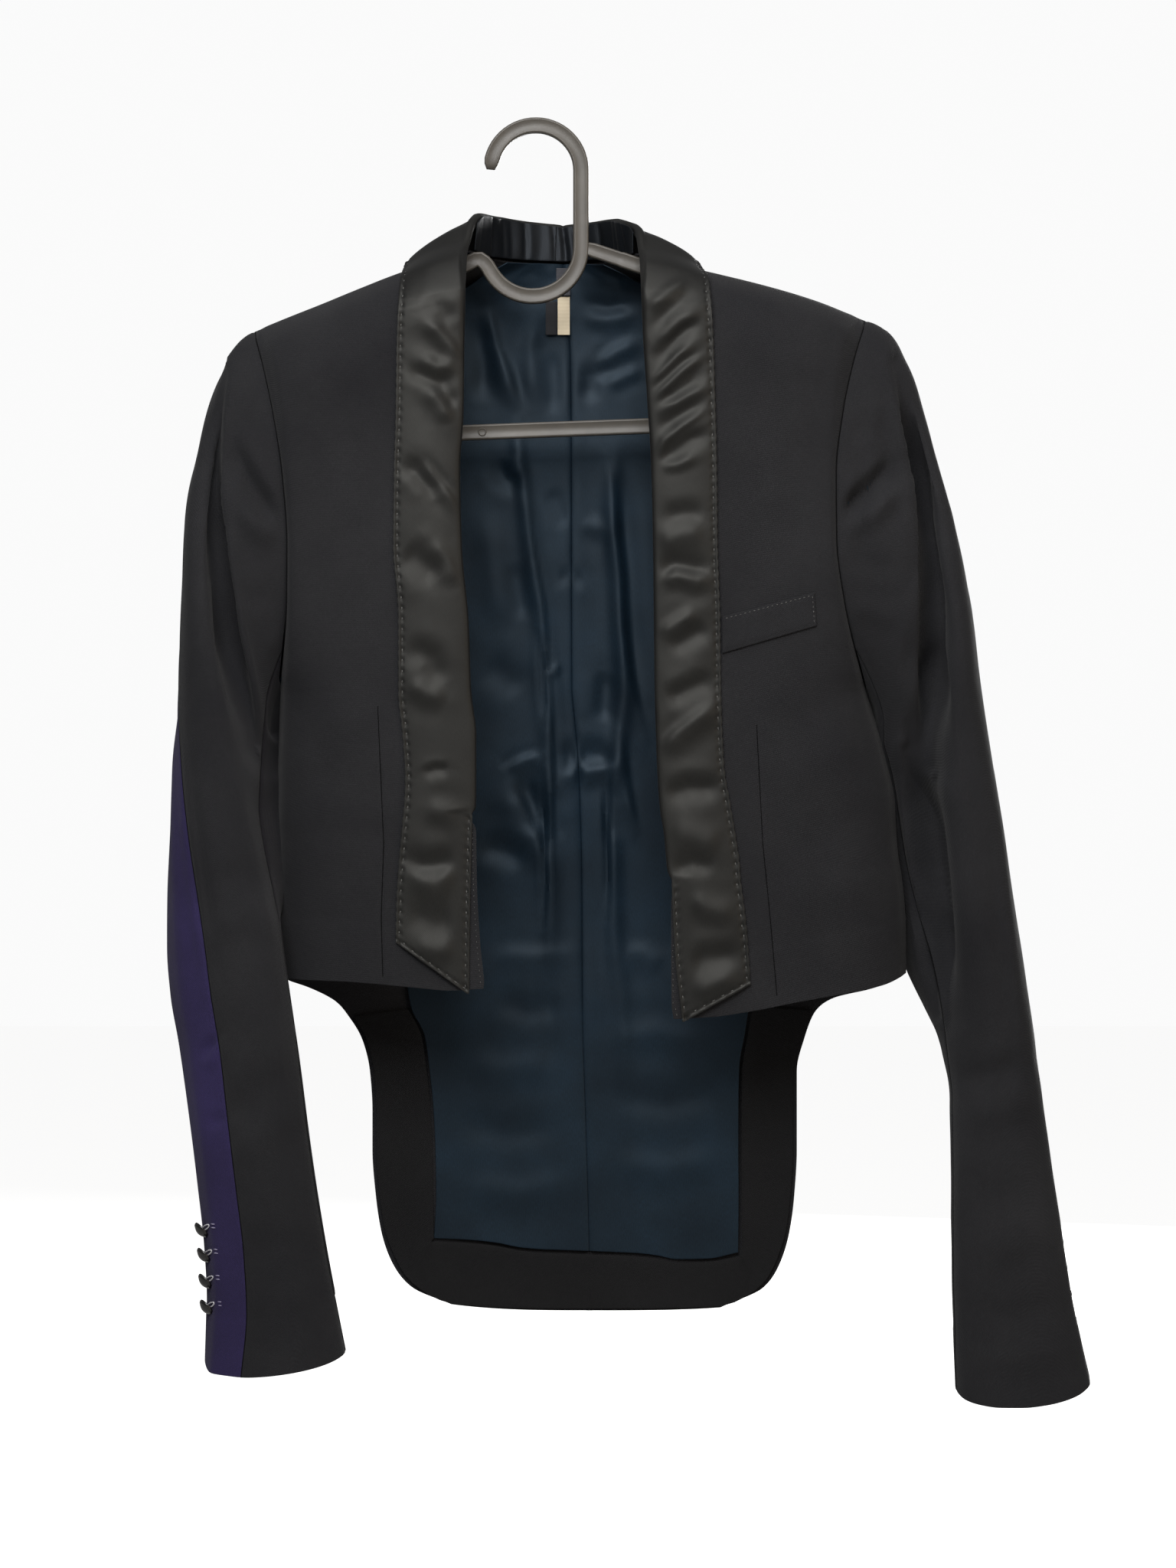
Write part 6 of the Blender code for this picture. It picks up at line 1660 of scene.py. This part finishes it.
def make_facing(side, hem_rows, hem_parts):
    """The wool band round the tail's lining: down the edge, then along the bottom to the centre."""
    coat = coat_side(side)
    grid, out = coat.back, coat.back_out
    first = len(grid) - len(TAIL[side]["x"]) + 4
    corner = hem_rows[-1]
    width = abs(grid[-1, -1, 0] - grid[-1, 0, 0])
    beside = BESIDE / width
    outer, inner = [], []
    for row in np.append(np.arange(first, math.floor(corner) + 1), corner):
        outer.append((row, 1 - FACING_INSET / width))
        inner.append((row, part_at_edge(grid, side, row) + beside))
    below = BESIDE / 12
    foot = (corner + below, hem_parts[-1] + beside)
    end = len(grid) - 1 - 0.12
    outer += [((corner + end) / 2, 1 - FACING_INSET / width), (end, 0.97)]
    inner += [foot, foot]
    for row, part in zip(hem_rows[-2::-1], hem_parts[-2::-1]):
        outer.append((end, part))
        inner.append((row + below, part))
    outer, inner = np.array(outer), np.array(inner)
    inner[-len(hem_rows) - 1, 0] -= 0.02
    across = np.array([0, 0.5, 1.0])[None, :]
    rows = outer[:, :1] + (inner[:, :1] - outer[:, :1]) * across
    parts = outer[:, 1:] + (inner[:, 1:] - outer[:, 1:]) * across
    face = inside(grid, out, rows, parts, WOOL + BACKING_GAP + SATIN)
    ways = -unit(read_grid(out, rows, parts))
    sheet = Sheet(face, ways, 3.0)
    x, z = sheet.points[..., 0], sheet.points[..., 2]
    sheet.push(0.3 * unrest(x, z, 24, 15.0) + seam(sheet.from_edge("end"), 0.4))
    # The band's wool is darkened as painted shade.
    sew("wool_tail_facing_" + side, sheet, "tail wool", "wool", "tail_facing_" + side, thick=1.1)


def patch(corners, place, across, down):
    """A small sheet between four corners, laid by a function."""
    (ax, az), (bx, bz), (cx, cz), (dx, dz) = corners
    u = np.linspace(0, 1, across + 1)[None, :]
    v = np.linspace(0, 1, down + 1)[:, None]
    x = (1 - v) * (ax + (bx - ax) * u) + v * (dx + (cx - dx) * u)
    z = (1 - v) * (az + (bz - az) * u) + v * (dz + (cz - dz) * u)
    grid = place(x, z)
    return grid, ways_out(grid, FORWARD)


# The tape of each kind of label, and its slot.
LABEL_CLOTHS = {
    "label": ("cream label tape", "cream_tape"),
    "tab": ("black label tape", "black_tape"),
    "neck": ("grey label tape", "black_tape"),
}


def make_labels():
    grid = coat_side("left").back

    def place(x, z):
        rows = np.interp(-z, -grid[:, 0, 2], np.arange(len(grid), dtype=float))
        depth = read_grid(grid, rows, 0.0)[..., 1]
        return stack(x, depth - WOOL - BACKING_GAP - LINING - 1.5, z)

    for name, (left, right, top, bottom, surface) in LABELS.items():
        corners = [(left, top), (right, top), (right, bottom), (left, bottom)]
        sheet = Sheet(*patch(corners, place, 3, 4), 1.2)
        hang = sheet.down / sheet.down.max()
        sheet.push(0.5 * unrest(sheet.across, sheet.down, 6, 3.0 + left) + 2.4 * hang**3)
        cloth, slot = LABEL_CLOTHS[surface]
        sew("blank_" + name, sheet, cloth, slot, name, thick=0.45, rim=0.12)


def make_welt():
    def place(x, z):
        return on_front("left", x, z, LAID + 1.6)

    grid, ways = patch(WELT, place, 8, 4)
    sheet = Sheet(grid, ways, 1.6)
    edge = np.minimum(np.minimum(sheet.from_edge("start"), sheet.from_edge("end")),
                      np.minimum(sheet.from_edge("top"), sheet.from_edge("bottom")))
    sheet.push(-0.2 - 0.5 * np.exp(-((edge / 0.8) ** 2)) - 0.3 * np.exp(-(((edge - 1.6) / 0.7) ** 2)))
    sew("wool_chest_welt", sheet, "worsted wool", "wool", "chest_welt", thick=1.0)
    for edge in ("end", "top"):
        pick("welt_stitches_" + edge, *beside(sheet, edge, 1.4), spacing=2.8, length=1.3, radius=0.28)


def cuff_place(side, height, turn):
    """A place on the sleeve at a height and an angle in half turns, and the way out there."""
    coat = coat_side(side)
    at, ways = np.zeros((len(coat.loops), 3)), np.zeros((len(coat.loops), 3))
    for r, angles in enumerate(coat.angles):
        order = np.argsort(angles)
        for k in range(3):
            at[r, k] = np.interp(turn * math.pi, angles[order], coat.loops[r, order, k])
            ways[r, k] = np.interp(turn * math.pi, angles[order], coat.sleeve_out[r, order, k])
    order = np.argsort(at[:, 2])
    point = np.array([np.interp(height, at[order, 2], at[order, k]) for k in range(3)])
    way = unit(np.array([np.interp(height, at[order, 2], ways[order, k]) for k in range(3)]))
    return point, way


# A button's section from the middle of its back to the middle of its dome, as radius and height.
BUTTON_SECTION = [(0.0, -0.9), (2.4, -0.95), (4.2, -1.3), (5.2, -1.7), (5.65, -1.5), (5.75, -1.0),
                  (5.5, -0.2), (4.9, 0.6), (4.4, 0.75), (4.0, 1.05), (2.8, 1.75), (1.4, 2.2), (0.0, 2.35)]
# How far a button's middle stands off the cuff, and how far it sags on its shank.
BUTTON_STAND = 3.5
BUTTON_SAG = 0.8
# Places on the cuff as a height and an angle from the button's own, in millimetres and half turns.
BUTTON_PLACE = (0.0, -0.03)
LOOP_FOOT = (3.6, -0.11)
BAR_PLACES = ((4.6, -0.15), (2.4, -0.15))
# Half width of the shank's loop.
LOOP_WIDTH = 1.2


def make_buttons(side):
    """Domed buttons that sag on their shanks, each with its loop of thread and the bars of its hole."""
    bars, loops = [], []
    for number, height in enumerate(BUTTONS[side][1], start=1):
        angle = BUTTONS[side][0]
        point, way = cuff_place(side, height + BUTTON_PLACE[0], angle + BUTTON_PLACE[1])
        middle = point + BUTTON_STAND * way
        face = unit(way - BUTTON_SAG * UP)
        bm = bmesh.new()
        ring = [bm.verts.new((radius, 0, up)) for radius, up in BUTTON_SECTION]
        edges = [bm.edges.new(pair) for pair in zip(ring, ring[1:])]
        bmesh.ops.spin(bm, geom=ring + edges, cent=(0, 0, 0), axis=(0, 0, 1), angle=2 * math.pi, steps=28,
                       use_merge=True)
        bmesh.ops.remove_doubles(bm, verts=bm.verts, dist=0.01)
        bmesh.ops.recalc_face_normals(bm, faces=bm.faces)
        turn = Vector((0, 0, 1)).rotation_difference(Vector(face)).to_matrix().to_4x4()
        bmesh.ops.transform(bm, matrix=Matrix.Translation(middle) @ turn, verts=bm.verts)
        piece = object_from(bm, f"horn_button_{side}_{number}")
        smooth = piece.modifiers.new("round", "SUBSURF")
        smooth.levels = smooth.render_levels = 1
        dress(piece, f"button_{side}_{number}", "dark horn", "button_horn")
        foot, out = cuff_place(side, height + LOOP_FOOT[0], angle + LOOP_FOOT[1])
        start = middle - 1.0 * face
        along = foot - start
        across = unit(np.cross(along, out))
        turns = np.linspace(0, 2 * math.pi, 17)[:, None]
        loop = start + along * (1 - np.cos(turns)) / 2 + LOOP_WIDTH * across * np.sin(turns)
        loops.append((loop, np.broadcast_to(out, loop.shape)))
        for up, turned in BAR_PLACES:
            at, out = cuff_place(side, height + up, angle + turned)
            bars.append((at + 0.5 * out, unit(np.cross(UP, out)), out))
    sewn_lines("shank_threads_" + side, loops, 0.4, 0.0, "pale shank thread", "button_horn")
    silk = "violet silk thread" if side == "right" else "black silk thread"
    stitches("buttonhole_bars_" + side, bars, silk, "wool", 4.2, 0.42)


def arc(centre, radius, start, end, steps):
    angles = np.radians(np.linspace(start, end, steps + 1))
    return [(centre[0] + radius * math.cos(a), centre[1] + radius * math.sin(a)) for a in angles]


# Centres of the hook and of the swing of the hanger's neck, seen from the front.
HOOK_CENTRE = (0.0, -22.4)
SWING_CENTRE = (-1.9, -69.0)
SWING_RADIUS = 29.0
# The lip along each edge of the bar's faces: how far in and how far down each corner lies.
LIP = [(0, 1.2), (0.35, 0.3), (1.0, 0), (1.4, 0.05), (1.7, 0.25)]
# How far the sides of the bar are crowned.
CROWN = 0.12
# A plain moulded ring on the crossbar: its place and radius.
RING_MARK = (-32.2, -179.7, 2.2)


def hanger_paths():
    """The hanger's main run from the hook's tip to its second arm, and the root of that arm."""
    path = arc(HOOK_CENTRE, HOOK_RADIUS, 174, 0, 20)
    tip = (path[0][0] - 0.2, path[0][1] - 2.2)
    path = [tip] + path + [(HOOK_RADIUS, -35), (HOOK_RADIUS, -50)]
    path += arc(SWING_CENTRE, SWING_RADIUS, 0, -148, 16)
    path += [(-30.2, -78.6), (-34.6, -75.7), (-40.5, -78.1), (-50, -82.0), (-62, -86.0), (-92, -95.9),
             (-120, -107.1), (-146, -117.6)]
    path += [(-154, -122.5), (-159, -131), (-160, -145), (-160, -160), (-157.5, -171), (-151, -179.5),
             (-140, -183.4)]
    path += [(-43, -180), (66.5, -176), (178, -172.2)]
    path += [(189, -168.5), (196, -160), (198.5, -147), (196.5, -134), (190, -124), (178, -117.5)]
    path += [(164.5, -107.8), (119, -94.8), (96.5, -89.8), (62, -79.6), (46, -74.2)]
    return path, [(60, -79.0), (52, -76.3), (36, -71), (28, -68.4)]


def bar_along(bm, path, width, depth):
    """A moulded bar with lipped faces and rounded ends, extruded along a path in the hanger's plane."""
    path = np.array(path, float)
    steps = np.linalg.norm(np.diff(path, axis=0), axis=1)
    run = np.append(0.0, np.cumsum(steps))
    count = max(4, int(run[-1] / 3.0))
    path = follow(run, path, np.linspace(0, run[-1], count))
    way = unit(np.gradient(path, axis=0))
    w, d = width / 2, depth / 2
    half = [(-w + a, -d + b) for a, b in LIP] + [(w - a, -d + b) for a, b in reversed(LIP)] + [(w + CROWN, 0)]
    section = half + [(-a, -b) for a, b in half]
    ends = np.clip(np.minimum(np.arange(count), np.arange(count)[::-1]) / 2.0, 0, 1)
    scales = 0.55 + 0.45 * np.sin(ends * math.pi / 2)

    def ring_at(r):
        across = np.array([-way[r, 1], way[r, 0]])
        places_out = np.array(section) * scales[r]
        return [(path[r, 0] + a * across[0], b, path[r, 1] + a * across[1]) for a, b in places_out]

    verts = [bm.verts.new(place) for place in ring_at(0)]
    edges = [bm.edges.new((a, b)) for a, b in zip(verts, verts[1:] + verts[:1])]
    bm.faces.new(verts)
    for r in range(1, count):
        grown = bmesh.ops.extrude_edge_only(bm, edges=edges)["geom"]
        edges = [item for item in grown if isinstance(item, bmesh.types.BMEdge)
                 and len(item.link_faces) == 1]
        fresh = [item for item in grown if isinstance(item, bmesh.types.BMVert)]
        for vert, place in zip(fresh, ring_at(r)):
            vert.co = place
    bm.faces.new(fresh)
    bmesh.ops.recalc_face_normals(bm, faces=bm.faces)


def make_hanger():
    main, root = hanger_paths()
    bm = bmesh.new()
    bar_along(bm, main, BAR_WIDTH, BAR_DEPTH)
    bar_along(bm, root, BAR_WIDTH - 0.5, BAR_DEPTH - 0.5)
    x, z, radius = RING_MARK
    start = Matrix.Translation((x + radius, 0.1 - BAR_DEPTH / 2, z))
    ring = bmesh.ops.create_circle(bm, segments=8, radius=0.38, matrix=start)["verts"]
    edges = list({edge for vert in ring for edge in vert.link_edges})
    bmesh.ops.spin(bm, geom=ring + edges, cent=(x, 0, z), axis=(0, 1, 0), angle=2 * math.pi, steps=24,
                   use_merge=True)
    piece = object_from(bm, "moulded_hanger")
    dress(piece, "hanger", "grey moulded polypropylene", "hanger_plastic")


class ClothSizes(bpy.types.PropertyGroup):
    """Sizes that a user may change."""

    stitch_spacing: bpy.props.FloatProperty(
        name="Pick stitch spacing", description="Distance between stitches along the lapels",
        default=PICK_SPACING / 1000, min=0.002, max=0.02, unit="LENGTH")
    camera_distance: bpy.props.FloatProperty(
        name="Camera distance", description="How far the camera stands before the hanger",
        default=3.0, min=1.0, max=10.0, unit="LENGTH")


class StudioColours(bpy.types.PropertyGroup):
    """Colours of the studio that a user may change."""

    floor: bpy.props.FloatVectorProperty(
        name="Floor", description="Colour of the floor", subtype="COLOR", size=4, min=0.0, max=1.0,
        default=linear("#a8a7a5"))
    world: bpy.props.FloatVectorProperty(
        name="Surroundings", description="Colour of the light all round", subtype="COLOR", size=4, min=0.0,
        max=1.0, default=linear("#ffffff"))


class TAILCOAT_OT_body(bpy.types.Operator):
    """Build the wool fronts and the back with its tail"""

    bl_idname = "tailcoat.body"
    bl_label = "Fronts and Back"

    def execute(self, context):
        for side in ("right", "left"):
            make_front(side)
            make_back(side)
        return {"FINISHED"}


class TAILCOAT_OT_sleeves(bpy.types.Operator):
    """Build the two-piece sleeves"""

    bl_idname = "tailcoat.sleeves"
    bl_label = "Sleeves"

    def execute(self, context):
        for side in ("right", "left"):
            make_sleeve(side)
        return {"FINISHED"}


class TAILCOAT_OT_shawl(bpy.types.Operator):
    """Build the satin shawl lapels with their pick stitches"""

    bl_idname = "tailcoat.shawl"
    bl_label = "Shawl Lapels"

    def execute(self, context):
        for side in ("right", "left"):
            make_shawl(side)
        return {"FINISHED"}


class TAILCOAT_OT_stand(bpy.types.Operator):
    """Build the ruched stand inside the neck"""

    bl_idname = "tailcoat.stand"
    bl_label = "Ruched Stand"

    def execute(self, context):
        make_stand()
        return {"FINISHED"}


class TAILCOAT_OT_lining(bpy.types.Operator):
    """Build the lining and the wool band round the tail"""

    bl_idname = "tailcoat.lining"
    bl_label = "Lining and Tail Band"

    def execute(self, context):
        for side in ("right", "left"):
            make_facing(side, *make_lining(side))
        return {"FINISHED"}


class TAILCOAT_OT_trims(bpy.types.Operator):
    """Build the chest welt and the blank labels"""

    bl_idname = "tailcoat.trims"
    bl_label = "Welt and Labels"

    def execute(self, context):
        make_welt()
        make_labels()
        return {"FINISHED"}


class TAILCOAT_OT_buttons(bpy.types.Operator):
    """Build the cuff buttons"""

    bl_idname = "tailcoat.buttons"
    bl_label = "Cuff Buttons"

    def execute(self, context):
        for side in ("right", "left"):
            make_buttons(side)
        return {"FINISHED"}


class TAILCOAT_OT_hanger(bpy.types.Operator):
    """Build the moulded hanger"""

    bl_idname = "tailcoat.hanger"
    bl_label = "Hanger"

    def execute(self, context):
        make_hanger()
        return {"FINISHED"}


class TAILCOAT_OT_studio(bpy.types.Operator):
    """Set up the floor, the soft light and the camera"""

    bl_idname = "tailcoat.studio"
    bl_label = "Studio"

    def execute(self, context):
        make_studio(context.scene)
        return {"FINISHED"}


# Height of the camera's view at the hanger, and the view's centre, in metres.
FRAME_HEIGHT = 0.94208
CAMERA_X = 0.0313
CAMERA_Z = -0.391

# Strength of the light all round, and of the pale backdrop.
SOFT_LIGHT = 0.2
BACKDROP = 0.96
FLOOR_GLOW = 0.86

# Soft boxes: name, place, what they point at, width and height, power and colour.
LIGHTS = [
    ("key soft box", (-0.2, -1.4, 0.52), (0.05, 0.0, -0.3), (1.1, 0.8), 26.0, "#ffffff"),
    ("fill soft box", (2.0, -2.0, 0.2), (0.05, 0.0, -0.3), (1.3, 1.6), 13.0, "#ffe8cc"),
    ("top soft box", (0.05, -0.9, 1.5), (0.05, 0.0, -0.2), (1.6, 0.8), 15.0, "#ffffff"),
    ("back soft box", (1.1, 2.5, -0.1), (0.05, 0.0, -0.35), (1.6, 1.4), 70.0, "#ffffff"),
]


def make_studio(scene):
    colours = scene.tailcoat_colours
    bm = bmesh.new()
    bmesh.ops.create_grid(bm, x_segments=8, y_segments=8, size=6000.0)
    bmesh.ops.translate(bm, vec=(0, 1500, -900), verts=bm.verts)
    floor = object_from(bm, "studio_floor")
    made, tree, shader = new_finish("matt studio paper", Roughness=0.9, Base_Color=tuple(colours.floor),
                                    Specular_IOR_Level=0.1, Emission_Color=tuple(colours.world))
    # The paper is lit from behind: the glow is seen, and doesn't light the coat from below.
    seen = add(tree, "ShaderNodeLightPath").outputs["Is Camera Ray"]
    glow = add(tree, "ShaderNodeMath", {1: FLOOR_GLOW}, {0: seen}, operation="MULTIPLY")
    tree.links.new(glow.outputs[0], shader.inputs["Emission Strength"])
    floor.data.materials.append(made)
    floor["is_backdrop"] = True
    world = scene.world or bpy.data.worlds.new("studio light")
    scene.world = world
    world.use_nodes = True
    tree = world.node_tree
    soft = tree.nodes["Background"]
    soft.inputs["Color"].default_value = tuple(colours.world)
    soft.inputs["Strength"].default_value = SOFT_LIGHT
    backdrop = add(tree, "ShaderNodeBackground", {"Color": tuple(colours.world), "Strength": BACKDROP})
    seen = add(tree, "ShaderNodeLightPath").outputs["Is Camera Ray"]
    both = add(tree, "ShaderNodeMixShader", links={0: seen, 1: soft.outputs[0], 2: backdrop.outputs[0]})
    tree.links.new(both.outputs[0], tree.nodes["World Output"].inputs["Surface"])
    for name, place, target, size, power, colour in LIGHTS:
        data = bpy.data.lights.new(name, "AREA")
        data.color = linear(colour)[:3]
        data.shape = "RECTANGLE"
        data.size, data.size_y = size
        data.energy = power
        lamp = bpy.data.objects.new(name, data)
        lamp.location = place
        lamp.rotation_euler = (Vector(target) - Vector(place)).to_track_quat("-Z", "Y").to_euler()
        scene.collection.objects.link(lamp)
    scene.view_settings.view_transform = "Standard"
    data = bpy.data.cameras.new("studio camera")
    distance = scene.tailcoat_sizes.camera_distance
    data.sensor_width = 36.0
    data.lens = 36.0 * distance / FRAME_HEIGHT
    camera = bpy.data.objects.new("studio camera", data)
    camera.location = (CAMERA_X, -distance, CAMERA_Z)
    camera.rotation_euler = (math.pi / 2, 0.0, 0.0)
    scene.collection.objects.link(camera)
    scene.camera = camera


class TAILCOAT_PT_panel(bpy.types.Panel):
    """The coat's tools, in the 3D view's sidebar"""

    bl_label = "Tailcoat"
    bl_space_type = "VIEW_3D"
    bl_region_type = "UI"
    bl_category = "Tailcoat"

    def draw(self, context):
        sizes, colours = context.scene.tailcoat_sizes, context.scene.tailcoat_colours
        for group, names in ((sizes, ("stitch_spacing", "camera_distance")), (colours, ("floor", "world"))):
            for name in names:
                self.layout.prop(group, name)
        for operator in OPERATORS:
            self.layout.operator(operator.bl_idname)


OPERATORS = (TAILCOAT_OT_hanger, TAILCOAT_OT_body, TAILCOAT_OT_sleeves, TAILCOAT_OT_shawl, TAILCOAT_OT_stand,
             TAILCOAT_OT_lining, TAILCOAT_OT_trims, TAILCOAT_OT_buttons, TAILCOAT_OT_studio)
CLASSES = (ClothSizes, StudioColours) + OPERATORS + (TAILCOAT_PT_panel,)


def register():
    for item in CLASSES:
        bpy.utils.register_class(item)
    bpy.types.Scene.tailcoat_sizes = bpy.props.PointerProperty(type=ClothSizes)
    bpy.types.Scene.tailcoat_colours = bpy.props.PointerProperty(type=StudioColours)


def unregister():
    del bpy.types.Scene.tailcoat_colours
    del bpy.types.Scene.tailcoat_sizes
    for item in reversed(CLASSES):
        bpy.utils.unregister_class(item)


def main():
    register()
    for operator in OPERATORS:
        group, name = operator.bl_idname.split(".")
        getattr(getattr(bpy.ops, group), name)()
    corners = {name: [list(corner) for corner in box] for name, box in (("cad", CAD_BOX), ("visual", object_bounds()))}


if __name__ == "__main__":
    main()
